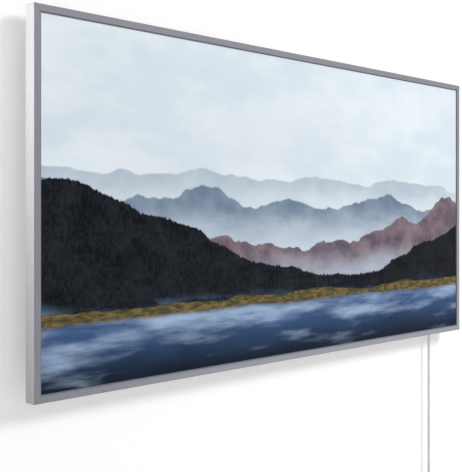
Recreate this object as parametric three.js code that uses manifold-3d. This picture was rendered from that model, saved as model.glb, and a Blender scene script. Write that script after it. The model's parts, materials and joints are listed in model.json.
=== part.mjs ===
// An infrared panel heater with a picture front, hung on a wall by a folded rail.
// Millimetres, +Z up. The wall is the plane y = 0 and the heater stands in front of it, towards -Y.
// The origin is the middle of the wall rail's back face.
import * as THREE from 'three';
import { mergeVertices } from 'three/addons/utils/BufferGeometryUtils.js';
import Module from 'manifold-3d';

const wasm = await Module();
wasm.setup();

// ---------------------------------------------------------------- driving dimensions
const panelWidth = 1200; // outside the frame
const panelHeight = 600;
const wallGap = 25; // rear edge of the frame to the wall
const seat = 0.3; // air left between two pieces that touch

// Frame: a hollow aluminium extrusion, cut at 45 degrees and joined by corner keys.
const frameDepth = 24;
const lipWidth = 11; // the frame's front face
const frameWall = 1.4;
const slotDepth = 5.8; // front slot that holds the seal and the sheets
const chamberWidth = 7.4; // hollow for the corner keys
const chamberWall = 1.2;
const rearRebate = 1.8; // the rear panel lies this deep in the frame
const frameEdgeRadius = 0.7;
const mitreGap = 0.15; // left by each of the two members at a corner
const keyArm = 42;
const keyToothDepth = 0.4;
const keyToothPitch = 4;
const keyClearance = 0.3;

// Sheets, from the front to the back.
const sealThickness = 0.8;
const sealWidth = 9.8; // its inner edge shows as a dark line beside the lip
const frontSheet = 1;
const laminateSheet = 1;
const carbonStrip = 0.2; // printed heating strips, standing on the laminate
const carbonStripWidth = 34;
const carbonStripPitch = 52;
const busbarSheet = 0.4;
const busbarWidth = 12;
const reflectorSheet = 0.4;
const sheetInset = 3.2; // edge of the seal and the front sheet, from the frame's outside
const laminateInset = 9;
const busbarInset = 22; // centre line of a busbar, from the frame's outside
const rearSheet = 1;
const rearClearance = 0.4;
const insulationClearance = 0.4;

// Stiffening beads pressed into the rear panel.
const beadCount = 4;
const beadPitch = 80;
const beadLength = 800;
const beadWidth = 16;
const beadHeight = 2.6;
const beadSlope = 3.4;

// Screws that hold the rear panel to the frame.
const rearScrewRow = 400; // from one to the next along the top and the bottom
const screwShank = 2.6;
const screwHead = 5.8;
const screwHeadHeight = 1.9;
const screwLength = 8;
const screwHoleClearance = 0.35;

// Wall rail and the two hangers that hook over it.
const railBelowTop = 100; // from the frame's top edge down to the rail's middle
const railLength = 640;
const railSheet = 2;
const railHeight = 44; // of the flange on the wall
const railReach = 14; // from the wall to the front of the lip
const railLip = 12; // height of the lip above the web
const railHoleRow = 300; // outer screw holes, from the middle
const railSlotRow = 140; // adjusting slots, from the middle
const railHole = 5.5;
const railSlotLength = 16;
const bendRadius = 1;
const hangerSheet = 2;
const hangerWidth = 60;
const hangerRow = 250; // from the middle to each hanger
const hangerBase = 78; // height of the flange on the rear panel
const hookClearance = 2; // each side of the hook
const hookOverlap = 10; // how far the hook reaches behind the lip
const rivetRow = 34;
const rivetBody = 4;
const rivetHead = 7.6;
const rivetHeadHeight = 1.3;

// Buffers that keep the lower edge off the wall.
const bufferFromSide = 40;
const bufferFromBottom = 30;
const bufferFlange = 22;
const bufferBody = 15;
const bufferFlangeSheet = 3;
const bufferPad = 3;
const bufferStud = 5.6;

// Terminal box behind the lower right corner.
const boxFromSide = 120; // its middle, from the frame's right side
const boxFromBottom = 60; // its underside, from the frame's bottom
const boxWidth = 110;
const boxHeight = 62;
const boxDepth = 20; // without the lid
const boxWall = 2;
const boxCorner = 5;
const lidSheet = 2.2;
const lidFieldInset = 11; // border round the lid's raised field
const lidFieldHeight = 0.6;
const lidRim = 1.6; // height and wall of the rim that locates the lid
const lidBoss = 7.4;
const lidScrewLength = 12;
const outletHeight = 30; // opening in the rear panel for the leads
const outletFromWall = 3; // inside the box, on the side away from the terminal block
const outletFromBlock = 1;
const cutoutOffset = -13; // thermal cut-out's axis from the opening's middle
const collarDepth = 3.2;
const collarWall = 1.6;
const collarBarb = 0.9;

// Terminal block, earth lug and leads inside the box.
const blockPitch = 9;
const blockHeight = 16;
const blockDepth = 12;
const blockClearance = 4; // from the block to the box's side wall
const blockToLug = 2.4;
const earthBelowTop = 9; // from the box's upper side
const lugRadius = 4;
const lugSheet = 1;
const lugLength = 10.5; // from the screw to the barrel's end
const lugBarrel = 3.4;
const leadDiameter = 2.4;
const leadBend = 12; // about the length that a lead takes to turn
const leadSlot = 8; // width of the slots in the insulation

// Cable gland, bend sleeve and cord.
const cordDiameter = 6;
const cordFromSide = 84; // cord's centre, from the frame's right side
const cordFromWall = 15;
const glandThread = 12;
const glandHex = 15; // across flats
const glandFlange = 5;
const glandNeck = 8;
const locknutHeight = 3.4;
const capHeight = 15;
const sleeveRadius = 3.7;
const sleeveRoot = 4.9;
const sleeveLength = 31; // outside the cap
const sleeveCollar = 4; // plain length at each end
const sleeveGrooves = 5;

// Coil of the cord, hanging under its straight length.
const cordDrop = 845; // straight down, to this far below the origin
const cordBendRadius = 30; // from straight down into the coil's outer turn
const cordBendAngle = THREE.MathUtils.degToRad(52);
const cordIntoCoil = 14; // straight, between the bend and the first turn
const coilInnerRadius = 25.2;
const coilPitch = 6.7; // from one turn to the next, and from one layer to the next
const coilWholeTurns = 6;
const coilSteps = 24; // in one turn
const tailLength = 24;
const tieWidth = 9;
const tieSheet = 1.2;
const tieAngle = THREE.MathUtils.degToRad(30);

// Mains plug with two round pins and two side earth contacts.
const plugFace = 37; // diameter
const plugFaceHeight = 17;
const plugGrip = 29;
const plugLength = 52;
const plugNeck = 10;
const pinDiameter = 4.8;
const pinLength = 19;
const pinSpacing = 19;
const pinRoot = 7; // length held in the body
const earthSlotWidth = 7;
const earthSlotDepth = 3;
const earthContactSheet = 1.4;

// ---------------------------------------------------------------- places that follow from them
// Depths are measured from the frame's front, towards the wall.
const sealFront = frameWall + seat / 2;
const frontSheetFront = sealFront + sealThickness + seat / 2;
const laminateFront = frontSheetFront + frontSheet + seat;
const busbarFront = laminateFront + laminateSheet + carbonStrip + seat;
const reflectorFront = busbarFront + busbarSheet + seat;
const insulationFront = reflectorFront + reflectorSheet + seat;
const webFront = frameWall + slotDepth;
const chamberFront = webFront + chamberWall;
const rearPanelBack = frameDepth - rearRebate + rearSheet + seat;
const rearPanelFront = rearPanelBack - rearSheet;
const flangeBack = rearPanelFront - seat;
const chamberBack = flangeBack - frameWall;
const chamberInner = frameWall + chamberWidth;
const innerEdge = chamberInner + chamberWall;
const insulationBack = rearPanelFront - seat;
const wallDepth = frameDepth + wallGap;
const panelMiddle = railBelowTop - panelHeight / 2; // height of the panel's middle above the origin
const halfWidth = panelWidth / 2;
const halfHeight = panelHeight / 2;
const boxMiddleX = halfWidth - boxFromSide;
const boxBottom = -halfHeight + boxFromBottom;
const boxMiddleZ = boxBottom + boxHeight / 2;
const boxFront = rearPanelBack + seat;
const boxBack = boxFront + boxDepth;
const blockWidth = 3 * blockPitch + 1;
const blockX = boxMiddleX + boxWidth / 2 - boxWall - blockClearance - blockWidth / 2;
const outletLeft = boxMiddleX - boxWidth / 2 + boxWall + outletFromWall;
const outletRight = blockX - blockWidth / 2 - outletFromBlock;
const outletWidth = outletRight - outletLeft;
const outletX = (outletLeft + outletRight) / 2;
const outletOffset = outletX - boxMiddleX;
const earthX = blockX - blockPitch;
const earthZ = boxMiddleZ + boxHeight / 2 - earthBelowTop;
const blockZ = earthZ - lugRadius - blockToLug - blockHeight / 2;
const cordX = halfWidth - cordFromSide;
const cordDepth = wallDepth - cordFromWall;
const sleeveEnd = boxBottom - seat - glandFlange - seat - capHeight - sleeveLength;
const busbarZ = halfHeight - busbarInset;

const screwInset = frameWall + chamberWidth / 2; // rear screws go into the middle of the hollow
const longSideScrews = [-rearScrewRow, 0, rearScrewRow];
const hangerRiser = hangerBase / 2;
const hangerZ = halfHeight - railBelowTop; // the rail's middle, seen from the panel's middle
const railTop = railHeight / 2;
const hangerTop = railTop + railLip + seat + hangerSheet;
const hangerMiddle = hangerZ + hangerTop - hangerRiser;
const rivetPlaces = [-1, 1].flatMap((side) =>
  [-1, 1].map((end) => [side * hangerRow, hangerMiddle - 6 + (end * rivetRow) / 2])
);
const bufferPlaces = [-1, 1].map((side) => [side * (halfWidth - bufferFromSide), -halfHeight + bufferFromBottom]);
const rearScrewPlaces = [
  ...longSideScrews.map((x) => [x, halfHeight - screwInset]),
  ...longSideScrews.map((x) => [x, -halfHeight + screwInset]),
  [-halfWidth + screwInset, 0],
  [halfWidth - screwInset, 0],
];

// ---------------------------------------------------------------- materials
const finish = (color, roughness, metalness) => new THREE.MeshStandardMaterial({ color, roughness, metalness });
const anodised = finish(0xa9adb3, 0.35, 0.9);
const castAluminium = finish(0x9a9da1, 0.5, 0.8);
const printedFace = finish(0x8fa3b5, 0.45, 0);
const laminateBrown = finish(0x5a4a32, 0.6, 0);
const copper = finish(0xb87333, 0.35, 1);
const foil = finish(0xd5d8da, 0.25, 1);
const woolBoard = finish(0xd9d2bd, 0.95, 0);
const galvanised = finish(0xb7bbbe, 0.45, 0.85);
const zincSteel = finish(0xc3c5c7, 0.35, 0.9);
const whitePlastic = finish(0xeeeeec, 0.5, 0);
const greyRubber = finish(0x5b5d60, 0.8, 0);
const whiteRubber = finish(0xdcdad9, 0.6, 0);
const nickel = finish(0xc9c5bb, 0.25, 1);
const redSilicone = finish(0xa63a2c, 0.6, 0);
const blueSilicone = finish(0x2f5da8, 0.6, 0);
const greenSilicone = finish(0x6f9a2e, 0.6, 0);

// ---------------------------------------------------------------- shaping
// A closed geometry as a solid that can be cut and joined.
function solid(geometry) {
  const bare = geometry.clone();
  bare.deleteAttribute('normal');
  bare.deleteAttribute('uv');
  const merged = mergeVertices(bare, 1e-4);
  const vertProperties = new Float32Array(merged.attributes.position.array);
  const triVerts = new Uint32Array(merged.index.array);
  return new wasm.Manifold(new wasm.Mesh({ numProp: 3, vertProperties, triVerts }));
}

function geometryOf(made) {
  const { vertProperties, triVerts } = made.getMesh();
  const geometry = new THREE.BufferGeometry();
  geometry.setAttribute('position', new THREE.BufferAttribute(vertProperties, 3));
  geometry.setIndex(new THREE.BufferAttribute(triVerts, 1));
  const flat = geometry.toNonIndexed();
  flat.computeVertexNormals();
  return flat;
}

const join = (...pieces) => geometryOf(pieces.map(solid).reduce((a, b) => a.add(b)));
const cut = (piece, ...tools) => geometryOf(tools.map(solid).reduce((a, b) => a.subtract(b), solid(piece)));

// A rectangle about the middle, with round corners if a radius is given.
function rectangle(width, height, radius = 0) {
  const shape = new THREE.Shape();
  const x = width / 2;
  const y = height / 2;
  if (radius === 0) return shape.moveTo(-x, -y).lineTo(x, -y).lineTo(x, y).lineTo(-x, y);
  return shape
    .absarc(x - radius, -y + radius, radius, -Math.PI / 2, 0)
    .absarc(x - radius, y - radius, radius, 0, Math.PI / 2)
    .absarc(-x + radius, y - radius, radius, Math.PI / 2, Math.PI)
    .absarc(-x + radius, -y + radius, radius, Math.PI, Math.PI * 1.5);
}

// A hexagon with two of its corners on the first axis.
function hexagon(acrossFlats) {
  const corner = acrossFlats / Math.sqrt(3);
  const points = [];
  for (let i = 0; i < 6; i++) {
    const angle = (i * Math.PI) / 3;
    points.push(new THREE.Vector2(corner * Math.cos(angle), corner * Math.sin(angle)));
  }
  return new THREE.Shape(points);
}

// An outline in x and z, as thick as from one depth to another.
function slab(shape, from, to, curveSegments = 5) {
  const made = new THREE.ExtrudeGeometry(shape, { depth: to - from, bevelEnabled: false, curveSegments });
  return made.rotateX(Math.PI / 2).translate(0, to, 0);
}

// An outline in x and y, standing from one height to another.
function post(shape, from, to) {
  const made = new THREE.ExtrudeGeometry(shape, { depth: to - from, bevelEnabled: false, curveSegments: 5 });
  return made.translate(0, 0, from);
}

// A section in y and z, run along x and centred on it.
const sectionAlongX = new THREE.Matrix4().makeBasis(
  new THREE.Vector3(0, 1, 0),
  new THREE.Vector3(0, 0, 1),
  new THREE.Vector3(1, 0, 0)
);
function bar(section, length) {
  const made = new THREE.ExtrudeGeometry(section, { depth: length, bevelEnabled: false, curveSegments: 4 });
  return made.translate(0, 0, -length / 2).applyMatrix4(sectionAlongX);
}

// A round rod along y, from one depth to another.
function rod(diameter, from, to, sides = 16) {
  const made = new THREE.CylinderGeometry(diameter / 2, diameter / 2, to - from, sides);
  return made.translate(0, (from + to) / 2, 0);
}

// A round rod along z, from one height to another.
function pole(diameter, from, to, sides = 20) {
  const made = new THREE.CylinderGeometry(diameter / 2, diameter / 2, to - from, sides);
  return made.rotateX(Math.PI / 2).translate(0, 0, (from + to) / 2);
}

// A profile of [radius, position along the axis] pairs, turned about y.
function turned(profile, sides) {
  return new THREE.LatheGeometry(profile.map(([radius, along]) => new THREE.Vector2(radius, along)), sides);
}

// The outline of a folded strip: straight runs with round bends, as thick as its sheet.
function foldedStrip(corners, sheet) {
  const bendSteps = 4;
  const radius = bendRadius + sheet / 2;
  const left = [];
  const right = [];
  const mark = (point, heading) => {
    const across = new THREE.Vector2(-heading.y, heading.x).multiplyScalar(sheet / 2);
    left.push(point.clone().add(across));
    right.push(point.clone().sub(across));
  };
  const points = corners.map(([y, z]) => new THREE.Vector2(y, z));
  const heading = (i) => points[i + 1].clone().sub(points[i]).normalize();
  mark(points[0], heading(0));
  for (let i = 1; i < points.length - 1; i++) {
    const before = heading(i - 1);
    const turn = Math.atan2(before.cross(heading(i)), before.dot(heading(i)));
    const side = Math.sign(turn);
    const tangent = radius * Math.tan(Math.abs(turn) / 2);
    const start = points[i].clone().addScaledVector(before, -tangent);
    const centre = start.clone().add(new THREE.Vector2(-before.y, before.x).multiplyScalar(side * radius));
    for (let step = 0; step <= bendSteps; step++) {
      const swung = (turn * step) / bendSteps;
      mark(start.clone().rotateAround(centre, swung), before.clone().rotateAround(new THREE.Vector2(), swung));
    }
  }
  mark(points[points.length - 1], heading(points.length - 2));
  return new THREE.Shape([...left, ...right.reverse()]);
}

// A round tube along points that it passes through smoothly.
function tube(points, diameter, sides, steps) {
  const path = new THREE.CatmullRomCurve3(points, false, 'centripetal');
  const section = new THREE.Shape();
  for (let i = 0; i < sides; i++) {
    const angle = (i * 2 * Math.PI) / sides;
    const x = (diameter / 2) * Math.cos(angle);
    const y = (diameter / 2) * Math.sin(angle);
    if (i === 0) section.moveTo(x, y);
    else section.lineTo(x, y);
  }
  return new THREE.ExtrudeGeometry(section, { steps, bevelEnabled: false, extrudePath: path });
}

const at = (x, y, z) => new THREE.Vector3(x, y, z);

function add(group, name, geometry, material, x = 0, y = 0, z = 0) {
  const mesh = new THREE.Mesh(geometry, material);
  mesh.name = name;
  mesh.position.set(x, y, z);
  group.add(mesh);
  return mesh;
}

const heater = new THREE.Group();
// Everything that lifts off the rail. Inside it y is the depth behind the frame's front.
const panel = new THREE.Group();
panel.position.set(0, -wallDepth, panelMiddle);
heater.add(panel);

// ---------------------------------------------------------------- frame
// The extrusion's section: first axis inward from the outside, second axis the depth.
function frameSection() {
  const shape = new THREE.Shape();
  shape.moveTo(frameEdgeRadius, 0);
  shape.lineTo(lipWidth, 0);
  shape.lineTo(lipWidth, frameWall);
  shape.lineTo(frameWall, frameWall);
  shape.lineTo(frameWall, webFront);
  shape.lineTo(innerEdge, webFront);
  shape.lineTo(innerEdge, flangeBack);
  shape.lineTo(frameWall, flangeBack);
  shape.lineTo(frameWall, frameDepth);
  shape.lineTo(0, frameDepth);
  shape.lineTo(0, frameEdgeRadius);
  shape.absarc(frameEdgeRadius, frameEdgeRadius, frameEdgeRadius, Math.PI, Math.PI * 1.5);
  const chamber = new THREE.Path();
  chamber.moveTo(frameWall, chamberFront);
  chamber.lineTo(chamberInner, chamberFront);
  chamber.lineTo(chamberInner, chamberBack);
  chamber.lineTo(frameWall, chamberBack);
  chamber.closePath();
  shape.holes.push(chamber);
  return shape;
}

// One member along x with its outside down, both ends cut at 45 degrees.
function frameMember(length, screwPlaces) {
  const made = new THREE.ExtrudeGeometry(frameSection(), { depth: 2, bevelEnabled: false, curveSegments: 4 });
  const position = made.getAttribute('position');
  for (let i = 0; i < position.count; i++) {
    const end = position.getZ(i) > 1 ? 1 : -1;
    position.setZ(i, end * (length / 2 - mitreGap - position.getX(i)));
  }
  made.rotateY(-Math.PI / 2);
  const holes = screwPlaces.map((x) =>
    rod(screwShank + 2 * screwHoleClearance, chamberBack - 1, frameDepth, 12).translate(x, 0, screwInset)
  );
  return cut(made, ...holes);
}

const members = [
  ['frame_bottom', panelWidth, longSideScrews, 0, 0, -halfHeight],
  ['frame_right', panelHeight, [0], -Math.PI / 2, halfWidth, 0],
  ['frame_top', panelWidth, longSideScrews, Math.PI, 0, halfHeight],
  ['frame_left', panelHeight, [0], Math.PI / 2, -halfWidth, 0],
];
for (const [name, length, screws, turn, x, z] of members) {
  add(panel, name, frameMember(length, screws), anodised, x, 0, z).rotation.y = turn;
}

// ---------------------------------------------------------------- corner keys
// An L whose arms lie in the hollows of two members, with teeth that bite their inner walls.
function cornerKey() {
  const width = chamberWidth - 2 * keyClearance;
  const outer = frameWall + keyClearance;
  const inner = outer + width;
  const tip = 2;
  const teeth = Math.floor((keyArm - inner - 2 * tip) / keyToothPitch);
  const toothed = [];
  for (let i = 0; i < teeth; i++) {
    const start = inner + tip + i * keyToothPitch;
    toothed.push([start, inner - keyToothDepth], [start + keyToothPitch * 0.8, inner]);
  }
  const shape = new THREE.Shape();
  shape.moveTo(outer + tip, outer);
  shape.lineTo(keyArm - tip, outer);
  shape.lineTo(keyArm, outer + tip);
  shape.lineTo(keyArm, inner - tip);
  for (const [along, across] of [...toothed].reverse()) shape.lineTo(along, across);
  shape.lineTo(inner, inner - keyToothDepth);
  for (const [along, across] of toothed) shape.lineTo(across, along);
  shape.lineTo(inner - tip, keyArm);
  shape.lineTo(outer + tip, keyArm);
  shape.lineTo(outer, keyArm - tip);
  shape.lineTo(outer, outer + tip);
  return slab(shape, chamberFront + keyClearance, chamberBack - keyClearance);
}

const corners = [
  ['corner_key_bottom_left', 0, -1, -1],
  ['corner_key_bottom_right', -Math.PI / 2, 1, -1],
  ['corner_key_top_right', Math.PI, 1, 1],
  ['corner_key_top_left', Math.PI / 2, -1, 1],
];
for (const [name, turn, sideX, sideZ] of corners) {
  add(panel, name, cornerKey(), castAluminium, sideX * halfWidth, 0, sideZ * halfHeight).rotation.y = turn;
}

// ---------------------------------------------------------------- seal and front sheet
function sealRing() {
  const outline = rectangle(panelWidth - 2 * sheetInset, panelHeight - 2 * sheetInset);
  const opening = 2 * (sheetInset + sealWidth);
  outline.holes.push(rectangle(panelWidth - opening, panelHeight - opening));
  return slab(outline, sealFront, sealFront + sealThickness);
}
add(panel, 'face_seal', sealRing(), greyRubber);

const frontOutline = rectangle(panelWidth - 2 * sheetInset, panelHeight - 2 * sheetInset);
add(panel, 'front_panel', slab(frontOutline, frontSheetFront, frontSheetFront + frontSheet), printedFace);

// ---------------------------------------------------------------- heating laminate and busbars
const laminateWidth = panelWidth - 2 * laminateInset;
function heatingLaminate() {
  const back = laminateFront + laminateSheet;
  const board = slab(rectangle(laminateWidth, panelHeight - 2 * laminateInset), laminateFront, back);
  const stripCount = Math.floor((laminateWidth - carbonStripWidth) / carbonStripPitch);
  const strips = [];
  for (let i = 0; i < stripCount; i++) {
    const x = (i - (stripCount - 1) / 2) * carbonStripPitch;
    const strip = rectangle(carbonStripWidth, 2 * busbarZ + busbarWidth);
    strips.push(slab(strip, back - laminateSheet / 2, back + carbonStrip).translate(x, 0, 0));
  }
  return join(board, ...strips);
}
add(panel, 'heating_laminate', heatingLaminate(), laminateBrown);

for (const [name, side] of [['busbar_top', 1], ['busbar_bottom', -1]]) {
  const strip = slab(rectangle(laminateWidth - busbarWidth, busbarWidth), busbarFront, busbarFront + busbarSheet);
  add(panel, name, strip, copper, 0, 0, side * busbarZ);
}

// ---------------------------------------------------------------- thermal cut-out, reflector and insulation
// The cut-out's cap faces the laminate through a hole in the reflector, inside a pocket of the insulation.
const cutoutDiameter = 16;
const cutoutHeight = 10;
const cutoutX = outletX + cutoutOffset;
const cutoutFront = busbarFront;
const tabSpread = 4.5; // from the cut-out's axis to each tab
const tabHeight = 5;
const tabBack = cutoutFront + cutoutHeight + tabHeight;

function thermalCutout() {
  const radius = cutoutDiameter / 2;
  const body = turned(
    [
      [0, 0],
      [radius - 1, 0],
      [radius, 1],
      [radius, 3.4],
      [radius - 1.4, 3.4],
      [radius - 1.4, cutoutHeight],
      [0, cutoutHeight],
    ],
    24
  );
  const tabs = [-1, 1].map((side) =>
    slab(rectangle(0.8, 6.3), cutoutHeight - 1, cutoutHeight + tabHeight).translate(side * tabSpread, 0, 0)
  );
  return join(body, ...tabs);
}
add(panel, 'thermal_cutout', thermalCutout(), castAluminium, cutoutX, cutoutFront, boxMiddleZ);

const reflectorHeight = 2 * busbarZ - busbarWidth - 8;
const cutoutHole = rod(cutoutDiameter + 4, reflectorFront - 1, reflectorFront + reflectorSheet + 1, 24);
const reflectorOutline = rectangle(laminateWidth, reflectorHeight);
const reflector = cut(
  slab(reflectorOutline, reflectorFront, reflectorFront + reflectorSheet),
  cutoutHole.translate(cutoutX, 0, boxMiddleZ)
);
add(panel, 'reflector_foil', reflector, foil);

// Leads run in slots cut through the board, from the pocket behind the terminal box to the busbars.
const pocketMargin = 6;
const topLeadX = outletX - outletWidth / 2 + leadSlot / 2;
const bottomLeadX = outletX + outletWidth / 2 - leadSlot / 2;

function insulationBoard() {
  const edge = 2 * (innerEdge + insulationClearance);
  const outline = rectangle(panelWidth - edge, panelHeight - edge);
  const board = slab(outline, insulationFront, insulationBack);
  const from = insulationFront - 1;
  const to = insulationBack + 1;
  const pocket = rectangle(outletWidth + 2 * pocketMargin, outletHeight + 2 * pocketMargin, 4);
  const upper = busbarZ - boxMiddleZ;
  const lower = busbarZ + boxMiddleZ;
  const upperSlot = rectangle(leadSlot, upper + leadSlot, leadSlot / 2 - 0.1);
  const lowerSlot = rectangle(leadSlot, lower + leadSlot, leadSlot / 2 - 0.1);
  return cut(
    board,
    slab(pocket, from, to).translate(outletX, 0, boxMiddleZ),
    slab(upperSlot, from, to).translate(topLeadX, 0, boxMiddleZ + upper / 2),
    slab(lowerSlot, from, to).translate(bottomLeadX, 0, boxMiddleZ - lower / 2),
    rod(leadSlot, insulationBack - 5, to).translate(earthX, 0, earthZ),
    ...rivetPlaces.map(([x, z]) => rod(leadSlot, insulationBack - 4, to, 12).translate(x, 0, z)),
    ...bufferPlaces.map(([x, z]) => rod(leadSlot, insulationBack - 4, to, 12).translate(x, 0, z))
  );
}
add(panel, 'insulation_board', insulationBoard(), woolBoard);

// ---------------------------------------------------------------- rear panel
// A bead's form: a long round-ended ridge with sloping sides, standing out of the plane y = 0.
function bead(length) {
  const top = rectangle(length - 2 * beadSlope, beadWidth - 2 * beadSlope, beadWidth / 2 - beadSlope - 0.01);
  const options = {
    depth: 0.2,
    bevelThickness: beadHeight,
    bevelSize: beadSlope,
    bevelSegments: 1,
    curveSegments: 3,
  };
  return new THREE.ExtrudeGeometry(top, options).rotateX(Math.PI / 2).translate(0, 0.1, 0);
}

// Each bead is raised on the wall side and the same form, one sheet further in, is taken away,
// which leaves a pressed shell.
function rearPanel() {
  const edge = 2 * (frameWall + rearClearance);
  let plate = solid(slab(rectangle(panelWidth - edge, panelHeight - edge), rearPanelFront, rearPanelBack));
  for (let i = 0; i < beadCount; i++) {
    const z = (i - (beadCount - 1) / 2) * beadPitch;
    plate = plate.add(solid(bead(beadLength).translate(0, rearPanelBack - 0.1, z)));
    plate = plate.subtract(solid(bead(beadLength).translate(0, rearPanelFront - 0.1, z)));
  }
  const from = rearPanelFront - 1;
  const to = rearPanelBack + 1;
  const hole = (diameter, x, z) => rod(diameter, from, to, 12).translate(x, 0, z);
  const holes = [
    slab(rectangle(outletWidth, outletHeight, 3), from, to).translate(outletX, 0, boxMiddleZ),
    ...rearScrewPlaces.map(([x, z]) => hole(screwShank + 2 * screwHoleClearance, x, z)),
    ...rivetPlaces.map(([x, z]) => hole(rivetBody + 2 * screwHoleClearance, x, z)),
    ...bufferPlaces.map(([x, z]) => hole(bufferStud + 2 * screwHoleClearance, x, z)),
    hole(screwShank + 2 * screwHoleClearance, earthX, earthZ),
  ];
  for (const tool of holes) plate = plate.subtract(solid(tool));
  return geometryOf(plate);
}
add(panel, 'rear_panel', rearPanel(), galvanised);

// A pan-head screw along y with its head towards the wall, the underside of the head at y = 0.
function panScrew(length, head = screwHead) {
  return turned(
    [
      [0, -length],
      [screwShank / 2 - 0.6, -length + 1.2],
      [screwShank / 2, -length + 2.4],
      [screwShank / 2, 0],
      [head / 2, 0],
      [head / 2, screwHeadHeight * 0.45],
      [head / 2 - 0.9, screwHeadHeight * 0.9],
      [0, screwHeadHeight],
    ],
    12
  );
}
rearScrewPlaces.forEach(([x, z], i) => {
  add(panel, `rear_screw_${i + 1}`, panScrew(screwLength), zincSteel, x, rearPanelBack + seat / 2, z);
});

// ---------------------------------------------------------------- wall rail
function wallRail() {
  const front = -railReach + railSheet / 2;
  const strip = foldedStrip(
    [
      [-railSheet / 2, -railTop],
      [-railSheet / 2, railTop - railSheet / 2],
      [front, railTop - railSheet / 2],
      [front, railTop + railLip],
    ],
    railSheet
  );
  const slot = rectangle(railSlotLength, railHole, railHole / 2 - 0.01);
  const tools = [-1, 1].flatMap((side) => [
    rod(railHole, -railSheet - 1, 1).translate(side * railHoleRow, 0, 0),
    slab(slot, -railSheet - 1, 1).translate(side * railSlotRow, 0, 0),
  ]);
  return cut(bar(strip, railLength), ...tools);
}
add(heater, 'wall_rail', wallRail(), galvanised);

// ---------------------------------------------------------------- hangers
// The flange lies on the rear panel; the hook reaches over the rail's lip and down behind it.
function hanger() {
  const flange = rearPanelBack + seat + hangerSheet / 2;
  const hook = wallDepth - railReach + railSheet + hookClearance + hangerSheet / 2;
  const top = hangerTop - hangerSheet / 2;
  const strip = foldedStrip(
    [
      [flange, hangerTop - hangerBase],
      [flange, top],
      [hook, top],
      [hook, railTop + railLip - hookOverlap],
    ],
    hangerSheet
  );
  const tools = rivetPlaces
    .filter(([x]) => x > 0)
    .map(([, z]) => rod(rivetBody + 2 * screwHoleClearance, 0, flange + 3, 12).translate(0, 0, z - hangerZ));
  return cut(bar(strip, hangerWidth), ...tools);
}
add(panel, 'hanger_left', hanger(), zincSteel, -hangerRow, 0, hangerZ);
add(panel, 'hanger_right', hanger(), zincSteel, hangerRow, 0, hangerZ);

// A blind rivet along y: domed head on the hanger, set end behind the rear panel's sheet.
function blindRivet() {
  const grip = hangerSheet + rearSheet + 2 * seat;
  const body = rivetBody / 2;
  const setEnd = body + 0.7;
  return turned(
    [
      [0, -grip - 1.6],
      [setEnd - 0.5, -grip - 1.6],
      [setEnd, -grip - 1],
      [setEnd, -grip - 0.2],
      [body, -grip - 0.05],
      [body, seat / 2],
      [rivetHead / 2, seat / 2],
      [rivetHead / 2 - 0.7, rivetHeadHeight * 0.7],
      [rivetBody / 2 - 0.6, rivetHeadHeight],
      [rivetBody / 2 - 0.9, rivetHeadHeight * 0.6],
      [0, rivetHeadHeight * 0.6],
    ],
    12
  );
}
rivetPlaces.forEach(([x, z], i) => {
  const y = rearPanelBack + seat + hangerSheet;
  add(panel, `hanger_rivet_${i + 1}`, blindRivet(), zincSteel, x, y, z);
});

// ---------------------------------------------------------------- buffers
function bufferStem() {
  const length = wallGap + frameDepth - rearPanelBack - bufferPad - 2 * seat;
  const flange = bufferFlange / 2;
  const body = bufferBody / 2;
  return turned(
    [
      [0, -rearSheet - 3],
      [bufferStud / 2, -rearSheet - 3],
      [bufferStud / 2, 0],
      [flange, 0],
      [flange, bufferFlangeSheet - 1],
      [flange - 1, bufferFlangeSheet],
      [body + 1.5, bufferFlangeSheet],
      [body, bufferFlangeSheet + 1.5],
      [body, length - 3],
      [body + 1.5, length - 1.5],
      [body + 1.5, length],
      [0, length],
    ],
    20
  );
}

function wallPad() {
  const radius = bufferBody / 2 + 2.5;
  return turned(
    [
      [0, 0],
      [radius, 0],
      [radius, bufferPad - 0.8],
      [radius - 0.8, bufferPad],
      [0, bufferPad],
    ],
    24
  );
}
bufferPlaces.forEach(([x, z], i) => {
  const side = i === 0 ? 'left' : 'right';
  add(panel, `buffer_stem_${side}`, bufferStem(), whitePlastic, x, rearPanelBack + seat, z);
  add(panel, `buffer_pad_${side}`, wallPad(), greyRubber, x, wallDepth - bufferPad, z);
});

// ---------------------------------------------------------------- terminal box
const lidScrewPlaces = [
  [-boxWidth / 2 + boxWall + 2, -boxHeight / 2 + boxWall + 2],
  [boxWidth / 2 - boxWall - 2, boxHeight / 2 - boxWall - 2],
];

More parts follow.
